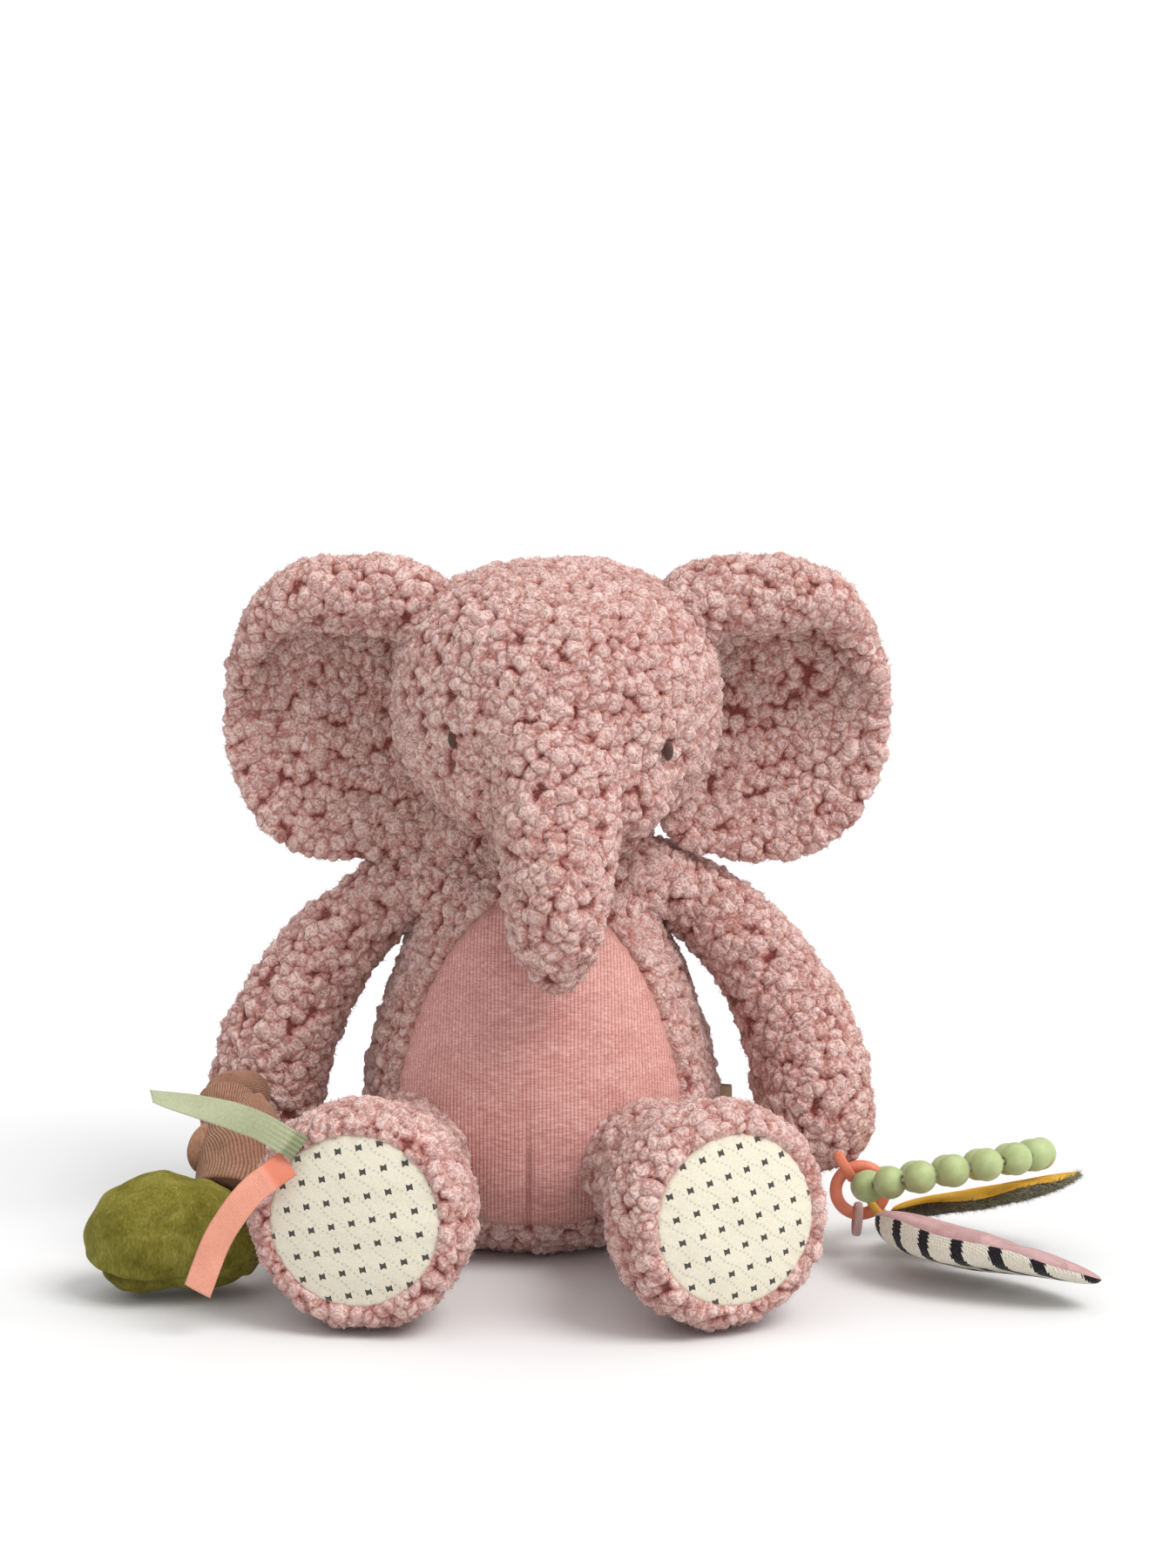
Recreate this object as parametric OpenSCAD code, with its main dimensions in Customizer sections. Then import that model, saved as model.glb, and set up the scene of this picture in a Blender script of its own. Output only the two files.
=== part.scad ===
/* [Torso] */
// Height of the torso, from the floor to the neck
torso_height = 147; // [144:1:150]
// Largest radius of the pear-shaped torso
torso_radius = 67; // [65:0.5:68]
// Height at which the torso is widest
torso_waist = 46; // [42:1:50]
// Radius of the flat patch that the toy sits on
seat_radius = 36; // [30:1:40]
// Thickness of the curly fleece with its pile
fleece = 3; // [2:0.25:4]
// Thickness of the knitted and velour fabrics
knit = 1.4; // [1:0.1:2]

/* [Head] */
// Radius of the head at its widest
head_radius = 60; // [58:0.5:61]
// Height of the head's crown above its widest level
crown_height = 51; // [48:1:54]
// Depth of the head's underside below its widest level
jaw_depth = 47; // [45:0.5:48]
// Radius of the stuffed neck ball
neck_radius = 20; // [18:0.5:21]

/* [Trunk] */
// Radius of the trunk where it leaves the face
trunk_root_radius = 24; // [22:0.5:25]
// Radius of the trunk halfway down
trunk_middle_radius = 18; // [16:0.5:19]
// Radius of the trunk just above its tip
trunk_tip_radius = 11; // [9:0.5:12]

/* [Ears] */
// Half the width of an ear
ear_half_width = 41; // [38:0.5:42]
// Half the height of an ear
ear_half_height = 56; // [54:0.5:57]
// How far the rim of an ear cups forwards
ear_cup = 13; // [8:1:15]

/* [Arms] */
// Radius of an arm at the shoulder
shoulder_radius = 14.5; // [13:0.5:15]
// Radius of an arm at the hand
hand_radius = 21; // [19:0.5:22]

/* [Legs] */
// Radius of the stuffed ball at the hip
hip_radius = 25; // [23:0.5:25]
// Radius of a foot
foot_radius = 39; // [37:0.5:39]
// Radius of the knitted sole
sole_radius = 30.5; // [28:0.5:31]

/* [Hand toys] */
// Diameter of one teething bead
bead_diameter = 12; // [11:0.25:12]
// Number of beads on the loop
bead_count = 15; // [13:1:15]
// Radius of the coral ring, to the middle of its band
ring_radius = 9; // [8.5:0.25:9.5]
// Width of the satin ribbons
ribbon_width = 10; // [8:0.5:12]

/* [Hidden] */

// Clearances: between pieces of one body, and between bodies that move
snug = 0.2;
loose = 0.6;
round = 64;
sides = 20;

neck_ball = [0, 0, 151];
head_centre = [6.5, -15, 203];
trunk_ball = [8, -58, 180];
shoulder = [50, 0, 131];
elbow = [97, -3, 104];
tail_ball = [0, 69, 52];
tail_radius = 5;
// For the left and then the right limb, as seen from the front
hand = [[-104, -13, 46], [103, -25, 50]];
hip = [[-46, -47, 39], [36, -50, 39]];
foot = [[-59, -124, 40], [62, -124, 40]];
foot_turn = [-10, 25];
foot_tilt = 4;

pink = [0.80, 0.62, 0.59];
rose = [0.80, 0.57, 0.55];
white_fibre = [0.95, 0.94, 0.92];

function unit(v) = v / norm(v);
function mix(a, b, t) = a + (b - a) * t;
function curve(a, b, c, t) = mix(mix(a, b, t), mix(b, c, t), t);

// ---- Round, bent solids: each station is [centre, radius] ----

function heading(s, i) = unit(s[min(i + 1, len(s) - 1)][0] - s[max(i - 1, 0)][0]);
function ring_points(s, i) =
    let (d = heading(s, i), a = unit(cross(d, [0, 1, 0.01])), b = cross(d, a))
    [for (k = [0 : sides - 1]) s[i][0] + s[i][1] * (cos(360 * k / sides) * a + sin(360 * k / sides) * b)];
function dome(centre, d, r, angles) = [for (w = angles) [centre + d * r * sin(w), r * cos(w)]];
function closed(s) = let (n = len(s) - 1) concat(
    dome(s[0][0], -unit(s[1][0] - s[0][0]), s[0][1], [84, 64, 42, 20]),
    s,
    dome(s[n][0], unit(s[n][0] - s[n - 1][0]), s[n][1], [20, 42, 64, 84]));

module sweep(s) {
    last = len(s) - 1;
    walls = [for (i = [0 : last - 1]) for (k = [0 : sides - 1])
        let (m = (k + 1) % sides)
        [i * sides + k, (i + 1) * sides + k, (i + 1) * sides + m, i * sides + m]];
    start = [[for (k = [0 : sides - 1]) k]];
    end = [[for (k = [sides - 1 : -1 : 0]) last * sides + k]];
    polyhedron([for (i = [0 : last]) each ring_points(s, i)], concat(walls, start, end));
}

function thinner(s, wall) = [for (p = s) [p[0], p[1] - wall]];

module skin(s, wall) {
    difference() {
        sweep(closed(s));
        sweep(closed(thinner(s, wall)));
    }
}

module stuffing(s, wall) {
    sweep(closed(thinner(s, wall + snug)));
}

// ---- Torso ----

// The sides draw in towards the shoulders, and the top closes in a small flat disc
torso_taper = 35;
torso_top_radius = 22;
function torso_r(z) = torso_radius - torso_taper * pow(max(z - torso_waist, 0) / 100, 1.6);
function torso_outline(inset) =
    let (bulge = torso_radius - inset - seat_radius, low = torso_waist - inset, top = torso_height - inset)
    concat(
        [[0, inset], [seat_radius, inset]],
        [for (w = [-66 : 22 : 0]) [seat_radius + bulge * cos(w), torso_waist + low * sin(w)]],
        [for (z = [torso_waist + 12 : 12 : torso_height - 8]) [torso_r(z) - inset, z]],
        [[torso_r(torso_height - 4) - inset - 4, top - 2], [torso_top_radius, top], [0, top]]);

module torso_body(inset) {
    rotate_extrude($fn = round) polygon(torso_outline(inset));
}

module torso_sockets(gap) {
    translate(neck_ball) sphere(neck_radius + gap, $fn = round);
    for (side = [-1, 1])
        translate([side * shoulder.x, shoulder.y, shoulder.z])
            sphere(shoulder_radius + 1 + gap, $fn = round);
    for (i = [0, 1]) translate(hip[i]) sphere(hip_radius + gap, $fn = round);
    translate(tail_ball) sphere(tail_radius + 0.5 + gap, $fn = round);
}

// Egg-shaped outline of the belly, wider and lobed at the bottom
belly_middle = 76;
belly_half_width = 49;
belly_extra_height = 10;
belly_lobe = 3;
function belly_r(w) = belly_half_width + belly_extra_height * sin(w) * sin(w)
    + (w > 180 ? belly_lobe * abs(sin(2 * w)) : 0);
function belly_point(w, r) = [r * cos(w) * (1 - 0.22 * sin(w)), belly_middle + r * sin(w)];
module belly_prism(grow) {
    rotate([90, 0, 0]) linear_extrude(height = torso_radius + 20)
        polygon([for (w = [0 : 12 : 348]) belly_point(w, belly_r(w) + grow)]);
}

module torso_wall() {
    difference() {
        torso_body(0);
        torso_body(fleece);
        torso_sockets(loose);
    }
}

module torso_shell() {
    color(pink) difference() {
        torso_wall();
        belly_prism(0);
    }
}

module belly_panel() {
    color(rose) intersection() {
        torso_wall();
        belly_prism(-snug);
    }
}

module torso_filling() {
    color(white_fibre) difference() {
        torso_body(fleece + snug);
        torso_sockets(loose + snug);
    }
}

label_size = [6, 0.8, 14];
module side_label() {
    color([0.72, 0.62, 0.48]) translate([torso_radius - 0.5, 9, 38]) cube(label_size);
}

module neck_filling() {
    color(white_fibre) translate(neck_ball) sphere(neck_radius, $fn = round);
}

// ---- Head ----

// Broad crown and rounder jaw, as a profile around the head's upright axis
function head_r(w, inset) = (head_radius - inset) * pow(cos(w), w > 0 ? 0.77 : 0.95);
function head_z(w, inset) = w > 0
    ? (crown_height - inset) * pow(sin(w), 0.85)
    : -(jaw_depth - inset) * pow(-sin(w), 1);
module head_body(inset) {
    translate(head_centre) rotate_extrude($fn = round) polygon(concat(
        [[0, -(jaw_depth - inset)]],
        [for (w = [-80 : 10 : 80]) [head_r(w, inset), w == 0 ? 0 : head_z(w, inset)]],
        [[0, crown_height - inset]]));
}

module head_sockets(gap) {
    translate(neck_ball) sphere(neck_radius + gap, $fn = round);
    translate(trunk_ball) sphere(trunk_root_radius + gap, $fn = round);
}

module head_shell() {
    color(pink) difference() {
        head_body(0);
        head_body(fleece);
        head_sockets(loose);
    }
}

module head_filling() {
    color(white_fibre) difference() {
        head_body(fleece + snug);
        head_sockets(loose + snug);
    }
}

// An embroidered oval that stands a little proud of the face
module eye(side, height) {
    bearing = side * 38;
    color([0.29, 0.18, 0.14]) translate([head_centre.x, head_centre.y, height])
        rotate([0, 0, bearing]) translate([0, -head_radius + 0.3, 0]) rotate([90, 0, 0])
        linear_extrude(height = 1.2) intersection() {
            intersection_for(k = [-1, 1]) translate([k * 1.6, 0]) circle(3.6, $fn = round);
            circle(4, $fn = round);
        }
}

module eye_left() {
    eye(-1, 196.5);
}

module eye_right() {
    eye(1, 192);
}

// ---- Trunk ----

trunk = [[trunk_ball, trunk_root_radius],
    for (t = [0.3 : 0.2 : 0.9]) [curve(trunk_ball, [7, -80, 150], [7, -77, 128], t),
        mix(trunk_root_radius, trunk_middle_radius, min(1, 1.7 * t))],
    [[7, -76.5, 122], mix(trunk_middle_radius, trunk_tip_radius, 0.45)],
    [[7, -76, 117], trunk_tip_radius]];

module trunk_shell() {
    color(pink) skin(trunk, fleece);
}

module trunk_filling() {
    color(white_fibre) stuffing(trunk, fleece);
}

// ---- Ears: a cupped plate whose root follows the head ----

ear_centre = [82, 197.5];
ear_root_y = 5;
head_reach = head_radius + 2.2;
ear_steps = 24;
ear_rings = 5;

// Distance from the ear's centre to its rim, which stops short of the head
function rim_oval(w) = 1 / norm([cos(w) / ear_half_width, sin(w) / ear_half_height]);
function rim_head(w) =
    let (c = [ear_centre.x, ear_centre.y - head_centre.z], d = [cos(w), sin(w)], along = c * d,
        inside = along * along - (c * c - head_reach * head_reach))
    inside > 0 && along < 0 ? -along - sqrt(inside) : 1000;
function ear_rim(w) = min(rim_oval(w), rim_head(w));
function ear_fold(w, q) = 4.5 * max(0, sin(w)) * max(0, sin(w)) * pow(q, 3) * (1 - 0.7 * pow(q, 12));
function ear_point(side, w, q, level, fold) =
    let (reach = ear_rim(w) * q, u = ear_centre.x + reach * cos(w), z = ear_centre.y + reach * sin(w),
        out = reach / ear_half_height)
    [head_centre.x + side * u, ear_root_y + 3 - ear_cup * out * out - level - fold * ear_fold(w, q), z];

// A layer of the ear between two levels in front of its middle
module ear_layer(side, shrink, low, high, fold) {
    grid = [for (level = [low, high]) for (i = [1 : ear_rings]) for (k = [0 : ear_steps - 1])
        ear_point(side, 360 * k / ear_steps, shrink * i / ear_rings, level, level == high ? fold : 0)];
    centres = [ear_point(side, 0, 0, low, 0), ear_point(side, 0, 0, high, 0)];
    n = ear_steps;
    layer = ear_rings * n;
    back_faces = [for (i = [0 : ear_rings - 2]) for (k = [0 : n - 1])
        let (m = (k + 1) % n) [i * n + k, i * n + m, (i + 1) * n + m, (i + 1) * n + k]];
    back_hub = [for (k = [0 : n - 1]) [2 * layer, (k + 1) % n, k]];
    rim = [for (k = [0 : n - 1])
        let (m = (k + 1) % n, o = (ear_rings - 1) * n) [o + k, o + m, layer + o + m, layer + o + k]];
    front_faces = [for (f = back_faces) [for (j = [3 : -1 : 0]) layer + f[j]]];
    front_hub = [for (k = [0 : n - 1]) [2 * layer + 1, layer + k, layer + (k + 1) % n]];
    faces = concat(back_faces, back_hub, rim, front_faces, front_hub);
    outwards = [for (f = faces) side > 0 ? f : [for (j = [len(f) - 1 : -1 : 0]) f[j]]];
    polyhedron(concat(grid, centres), outwards);
}

module ear_front(side) {
    color(pink) ear_layer(side, 1, 0.8, 0.8 + fleece, 1);
}

module ear_filling(side) {
    color(white_fibre) ear_layer(side, 0.94, -0.6, 0.6, 0);
}

module ear_back(side) {
    color(pink) ear_layer(side, 1, -0.8 - fleece, -0.8, 0);
}

module ear_left_front() {
    ear_front(-1);
}

module ear_left_filling() {
    ear_filling(-1);
}

module ear_left_back() {
    ear_back(-1);
}

module ear_right_front() {
    ear_front(1);
}

module ear_right_filling() {
    ear_filling(1);
}

module ear_right_back() {
    ear_back(1);
}

// ---- Arms ----

function arm(i) = let (side = i == 0 ? -1 : 1, from = [side * shoulder.x, shoulder.y, shoulder.z])
    [for (t = [0 : 0.125 : 1]) [curve(from, [side * elbow.x, elbow.y, elbow.z], hand[i], t),
        mix(shoulder_radius, hand_radius, t < 0.15 ? 0 : sin(90 * (t - 0.15) / 0.85))]];

module arm_left_shell() {
    color(pink) skin(arm(0), fleece);
}

module arm_left_filling() {
    color(white_fibre) stuffing(arm(0), fleece);
}

module arm_right_shell() {
    color(pink) skin(arm(1), fleece);
}

module arm_right_filling() {
    color(white_fibre) stuffing(arm(1), fleece);
}

// ---- Legs ----

// The foot is a rounded drum around its own axis; its sole is let into the front face
foot_front = 15;
foot_back = -27;
heel_flat = 17;
rim_flat = 29;
function foot_outline(inset) = concat(
    [[0, foot_back + inset]],
    [for (w = [-80 : 16 : 0])
        [heel_flat + (foot_radius - inset - heel_flat) * cos(w), (-foot_back - inset) * sin(w)]],
    [for (w = [15 : 15 : 60])
        [rim_flat + (foot_radius - inset - rim_flat) * cos(w), (foot_front - inset) * sin(w) / sin(60)]],
    [[0, foot_front - inset]]);

module in_foot(i) {
    translate(foot[i]) rotate([90 - foot_tilt, 0, foot_turn[i]]) children();
}

module foot_body(i, inset) {
    in_foot(i) rotate_extrude($fn = round) polygon(foot_outline(inset));
}

// From the hip ball the leg widens towards the foot
module leg_core(i, inset) {
    way = foot[i] - hip[i];
    span = norm(way) - 6;
    translate(hip[i]) rotate([0, 0, atan2(way.y, way.x)]) rotate([0, 90 - asin(way.z / norm(way)), 0])
        union() {
            sphere(hip_radius - inset, $fn = round);
            cylinder(r1 = hip_radius - inset - 7, r2 = 30 - inset, h = span, $fn = round);
        }
}

module leg_solid(i, inset) {
    leg_core(i, inset);
    foot_body(i, inset);
}

module sole_seat(i, depth, r) {
    in_foot(i) translate([0, 0, foot_front - depth]) cylinder(r = r, h = depth + 1, $fn = round);
}

module leg_shell(i) {
    color(pink) difference() {
        leg_solid(i, 0);
        leg_solid(i, fleece);
        sole_seat(i, fleece + 2, sole_radius - 5);
        sole_seat(i, knit, sole_radius);
    }
}

module leg_filling(i) {
    color(white_fibre) leg_solid(i, fleece + snug);
}

module leg_sole(i) {
    color([0.90, 0.87, 0.80]) in_foot(i) translate([0, 0, foot_front - knit + 0.05])
        cylinder(r = sole_radius - snug / 2, h = knit, $fn = round);
}

module leg_left_shell() {
    leg_shell(0);
}

module leg_left_filling() {
    leg_filling(0);
}

module leg_left_sole() {
    leg_sole(0);
}

module leg_right_shell() {
    leg_shell(1);
}

module leg_right_filling() {
    leg_filling(1);
}

module leg_right_sole() {
    leg_sole(1);
}

// ---- Tail ----

tail_stations = [[tail_ball, tail_radius], [[0, 77, 45], 4.5], [[0, 82, 34], 4.2], [[0, 84, 23], 5]];

module tail() {
    color(pink) sweep(closed(tail_stations));
}

// ---- Ribbons in the seam of the left sole: a strip along stations, [point, across] ----

module strip(stations, thick) {
    last = len(stations) - 1;
    corners = [for (i = [0 : last])
        let (p = stations[i][0], across = unit(stations[i][1]) * ribbon_width / 2,
            d = unit(stations[min(i + 1, last)][0] - stations[max(i - 1, 0)][0]),
            out = unit(cross(d, across)) * thick / 2)
        each [p + across + out, p - across + out, p - across - out, p + across - out]];
    walls = [for (i = [0 : last - 1]) for (k = [0 : 3])
        let (m = (k + 1) % 4, a = 4 * i + k, b = 4 * i + 4 + k, c = 4 * i + 4 + m, d = 4 * i + m)
        each k == 2 ? [[a, b, d], [b, c, d]] : [[a, b, c], [a, c, d]]];
    polyhedron(corners, concat(walls, [[0, 1, 2, 3], [for (k = [3 : -1 : 0]) 4 * last + k]]));
}

sage_stations = [[[-82.5, -142, 68.5], [0.72, 0, 0.7]], [[-92, -141, 75], [0.6, 0, 0.8]],
    [[-98.5, -140, 78], [0.45, 0.1, 0.88]], [[-105, -138, 80], [0.35, 0.22, 0.9]],
    [[-111.5, -135.8, 81.7], [0.24, 0.38, 0.9]], [[-118, -133, 83], [0.15, 0.52, 0.84]],
    [[-124.5, -130, 84], [0.1, 0.66, 0.74]], [[-131, -127, 85], [0.05, 0.78, 0.62]]];
coral_stations = [[[-87, -140, 59], [0.62, 0, -0.78]], [[-94, -141.5, 55], [0.75, 0, -0.66]],
    [[-102, -142, 46], [0.9, 0, -0.42]], [[-108, -141, 34], [0.96, 0, -0.28]],
    [[-113, -139.5, 17], [0.98, 0, -0.18]]];

module sage_ribbon() {
    color([0.70, 0.73, 0.57]) strip(sage_stations, 0.8);
}

module coral_ribbon() {
    color([0.93, 0.64, 0.53]) strip(coral_stations, 0.8);
}

// ---- Soft tree in the left hand: a knitted stem and a velour crown ----

stem = [[[-106, -50, 58], 13], [[-107, -56, 48], 14], [[-110, -64, 38], 14.3], [[-114, -72, 30], 14]];

module crown_body(inset) {
    hull() {
        translate([-139, -90, 23.5]) sphere(22.5 - inset, $fn = 24);
        translate([-122, -88, 22.5]) sphere(21.5 - inset, $fn = 24);
        translate([-108.5, -92, 12]) sphere(8 - inset, $fn = 16);
    }
}

module tree_stem() {
    color([0.66, 0.48, 0.40]) difference() {
        skin(stem, knit);
        crown_body(-snug);
    }
}

module tree_stem_filling() {
    color(white_fibre) difference() {
        stuffing(stem, knit);
        crown_body(-snug);
    }
}

module crown_part(low, high) {
    color([0.53, 0.48, 0.20]) intersection() {
        difference() {
            crown_body(0);
            crown_body(knit + 0.6);
        }
        translate([-170, -120, low]) cube([75, 60, high - low]);
    }
}

module tree_crown_upper() {
    crown_part(15 + snug / 2, 50);
}

module tree_crown_lower() {
    crown_part(0, 15 - snug / 2);
}

module tree_crown_filling() {
    color(white_fibre) crown_body(knit + 0.6 + snug);
}

// ---- Ring, bead loop and two leaves at the right hand ----

ring_centre = [118, -42, 25];
band = 2.3;
link_radius = 5.6;
link_wire = 0.9;

function on_ring(w) = ring_centre + ring_radius * [cos(w), 0, sin(w)];
module ring_link(w, out) {
    translate(on_ring(w) + out * [cos(w), 0, sin(w)]) rotate([0, -w, 0])
        rotate_extrude($fn = 32) translate([link_radius, 0]) circle(link_wire, $fn = 16);
}

module coral_ring() {
    color([0.86, 0.49, 0.38]) translate(ring_centre) rotate([90, 0, 0])
        rotate_extrude($fn = round) translate([ring_radius, 0]) circle(band, $fn = 24);
}

// A fabric loop from the hand, which ends where the hand's fleece begins
module hand_tab() {
    color([0.86, 0.49, 0.38]) difference() {
        translate(on_ring(121) + [-1.2, 1.6, 1.9]) rotate([0, -121, 0])
            rotate_extrude($fn = 32) translate([6.2, 0]) circle(1, $fn = 16);
        sweep(closed(arm(1)));
    }
}

// The beads follow a loop with straight sides and round ends that starts at the ring
loop_end_radius = 26;
loop_straight = 15;
loop_length = 2 * loop_straight + 2 * PI * loop_end_radius;
bead_pitch = bead_diameter + 0.12;
first_bead = (loop_length - (bead_count - 1) * bead_pitch) / 2;
function turn_point(centre, w) = [centre - loop_end_radius * cos(w), -loop_end_radius * sin(w), 0];
function loop_point(s) =
    let (quarter = PI * loop_end_radius / 2, k = 180 / (PI * loop_end_radius))
    s < quarter ? turn_point(loop_end_radius, s * k)
    : s < quarter + loop_straight ? [loop_end_radius + s - quarter, -loop_end_radius, 0]
    : s < 3 * quarter + loop_straight ? turn_point(loop_end_radius + loop_straight, (s - loop_straight) * k)
    : s < 3 * quarter + 2 * loop_straight
        ? [loop_end_radius + loop_straight - (s - 3 * quarter - loop_straight), loop_end_radius, 0]
    : turn_point(loop_end_radius, (s - 2 * loop_straight) * k);

module in_bead_frame() {
    translate(ring_centre + [0, 0, 1]) rotate([-15.5, -11, 0]) children();
}

module cord_loop(r) {
    for (end = [0, 1])
        translate([loop_end_radius + end * loop_straight, 0, 0]) rotate([0, 0, end == 0 ? 90 : -90])
        rotate_extrude(angle = 180, $fn = round) translate([loop_end_radius, 0]) circle(r, $fn = 16);
    for (side = [-1, 1]) translate([loop_end_radius, side * loop_end_radius, 0]) rotate([0, 90, 0])
        cylinder(r = r, h = loop_straight, $fn = 16);
}

module bead_cord() {
    color([0.87, 0.85, 0.76]) in_bead_frame() cord_loop(0.9);
}

// A bead with its bore along Z, wide enough for the cord's bend
module bead() {
    rotate_extrude($fn = 32) difference() {
        circle(d = bead_diameter, $fn = 32);
        translate([-bead_diameter, -bead_diameter]) square([bead_diameter + 1.7, 2 * bead_diameter]);
    }
}

module beads() {
    color([0.70, 0.74, 0.52]) in_bead_frame() for (i = [0 : bead_count - 1]) {
        s = first_bead + i * bead_pitch;
        way = loop_point(s + 1) - loop_point(s - 1);
        translate(loop_point(s)) rotate([0, 0, atan2(way.y, way.x)]) rotate([0, 90, 0]) bead();
    }
}

// A leaf is the overlap of two circles, along +X from its root
module leaf_outline(length, width, inset) {
    r = (length * length + width * width) / (4 * width);
    intersection_for(k = [-1, 1]) translate([length / 2, k * (r - width / 2)]) circle(r - inset, $fn = 96);
}

// Each size is [length, width, height of the face, depth of the back]
module leaf_half(size, side) {
    height = side > 0 ? size[2] : size[3];
    mirror([0, 0, side < 0 ? 1 : 0]) translate([0, 0, snug / 4]) difference() {
        linear_extrude(height = height - snug / 4) leaf_outline(size.x, size.y, 0);
        translate([0, 0, -1]) linear_extrude(height = height - knit + 1) leaf_outline(size.x, size.y, 3);
    }
}

module leaf_pad(size) {
    gap = knit + snug;
    translate([0, 0, gap - size[3]]) linear_extrude(height = size[2] + size[3] - 2 * gap)
        leaf_outline(size.x, size.y, 3 + snug);
}

olive_size = [70, 42, 3.8, 3.8];
module in_olive_leaf() {
    translate([129.5, -42, 17.4]) rotate([-15.5, -9.5, 0]) children();
}

module olive_leaf_face() {
    color([0.84, 0.66, 0.24]) in_olive_leaf() leaf_half(olive_size, 1);
}

module olive_leaf_filling() {
    color(white_fibre) in_olive_leaf() leaf_pad(olive_size);
}

module olive_leaf_back() {
    color([0.40, 0.38, 0.24]) in_olive_leaf() leaf_half(olive_size, -1);
}

module olive_leaf_tab() {
    color([0.84, 0.66, 0.24]) ring_link(-48, 2);
}

striped_size = [88, 38, 4, 9];
module in_striped_leaf() {
    translate([122.5, -64.5, 21.6]) rotate([0, 0, -31.5]) rotate([-18, 6.4, 0]) children();
}

module striped_leaf_face() {
    color([0.78, 0.64, 0.65]) in_striped_leaf() leaf_half(striped_size, 1);
}

module striped_leaf_filling() {
    color(white_fibre) in_striped_leaf() leaf_pad(striped_size);
}

module striped_leaf_back() {
    color([0.90, 0.86, 0.80]) in_striped_leaf() leaf_half(striped_size, -1);
}

module striped_leaf_tab() {
    color([0.78, 0.64, 0.65]) ring_link(-95, 2);
}

torso_shell();
belly_panel();
torso_filling();
side_label();
neck_filling();
head_shell();
head_filling();
eye_left();
eye_right();
trunk_shell();
trunk_filling();
ear_left_front();
ear_left_filling();
ear_left_back();
ear_right_front();
ear_right_filling();
ear_right_back();
arm_left_shell();
arm_left_filling();
arm_right_shell();
arm_right_filling();
leg_left_shell();
leg_left_filling();
leg_left_sole();
leg_right_shell();
leg_right_filling();
leg_right_sole();
tail();
sage_ribbon();
coral_ribbon();
tree_stem();
tree_stem_filling();
tree_crown_upper();
tree_crown_lower();
tree_crown_filling();
hand_tab();
coral_ring();
bead_cord();
beads();
olive_leaf_face();
olive_leaf_filling();
olive_leaf_back();
olive_leaf_tab();
striped_leaf_face();
striped_leaf_filling();
striped_leaf_back();
striped_leaf_tab();
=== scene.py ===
import itertools
import math

import bpy
import numpy as np
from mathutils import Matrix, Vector


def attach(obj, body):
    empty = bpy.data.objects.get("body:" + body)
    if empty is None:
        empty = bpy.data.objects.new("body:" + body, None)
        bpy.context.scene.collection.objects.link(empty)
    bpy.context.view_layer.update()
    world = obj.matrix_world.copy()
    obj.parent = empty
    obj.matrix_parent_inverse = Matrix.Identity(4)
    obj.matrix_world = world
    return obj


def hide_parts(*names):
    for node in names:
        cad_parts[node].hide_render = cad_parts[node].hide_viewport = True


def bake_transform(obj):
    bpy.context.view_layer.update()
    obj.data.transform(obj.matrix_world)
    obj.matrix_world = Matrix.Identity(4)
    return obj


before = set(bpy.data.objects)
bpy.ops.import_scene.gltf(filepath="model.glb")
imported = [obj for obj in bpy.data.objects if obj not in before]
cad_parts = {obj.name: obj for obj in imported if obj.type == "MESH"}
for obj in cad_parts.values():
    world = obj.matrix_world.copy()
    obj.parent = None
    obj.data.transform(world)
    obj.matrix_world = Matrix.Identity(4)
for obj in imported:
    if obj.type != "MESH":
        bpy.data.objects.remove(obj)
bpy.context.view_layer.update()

# Every length in the shape code is in millimetres, in the part's own frame, and becomes metres in make_mesh.
MM = 0.001
UP = np.array([0, 0, 1.0])
scene = bpy.context.scene

# ---- Camera, light and floor ----

target = Vector((0.0179, 0.0, 0.1695))
elevation = math.radians(9)
camera_data = bpy.data.cameras.new("camera")
camera_data.lens = 80
camera_data.sensor_width = 36
camera = bpy.data.objects.new("camera", camera_data)
camera.location = target + 1.3 * Vector((0, -math.cos(elevation), math.sin(elevation)))
camera.rotation_euler = (math.radians(90) - elevation, 0, 0)
scene.collection.objects.link(camera)
scene.camera = camera
scene.view_settings.view_transform = "Standard"

world = bpy.data.worlds.new("studio")
world.use_nodes = True
scene.world = world


def studio_sky():
    """A pale room: bright overhead and on the right, with a white band all round at the horizon."""
    tree = world.node_tree
    way = tree.nodes.new("ShaderNodeTexCoord").outputs["Generated"]
    split = tree.nodes.new("ShaderNodeSeparateXYZ")
    tree.links.new(way, split.inputs["Vector"])
    total = None
    for axis, low, high, start, end in (("Z", 0.15, 1.0, 0.38, 1.15), ("X", 0.1, 1.0, 0.0, 0.3),
                                        ("Z", 0.1, 0.2, 0.75, 0.0)):
        step = tree.nodes.new("ShaderNodeMapRange")
        step.interpolation_type = "SMOOTHSTEP"
        for key, value in zip(("From Min", "From Max", "To Min", "To Max"), (low, high, start, end)):
            step.inputs[key].default_value = value
        tree.links.new(split.outputs[axis], step.inputs["Value"])
        if total is None:
            total = step.outputs["Result"]
        else:
            add = tree.nodes.new("ShaderNodeMath")
            tree.links.new(total, add.inputs[0])
            tree.links.new(step.outputs["Result"], add.inputs[1])
            total = add.outputs[0]
    tree.links.new(total, tree.nodes["Background"].inputs["Strength"])
    tree.nodes["Background"].inputs["Color"].default_value = (1, 1, 1, 1)


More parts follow.
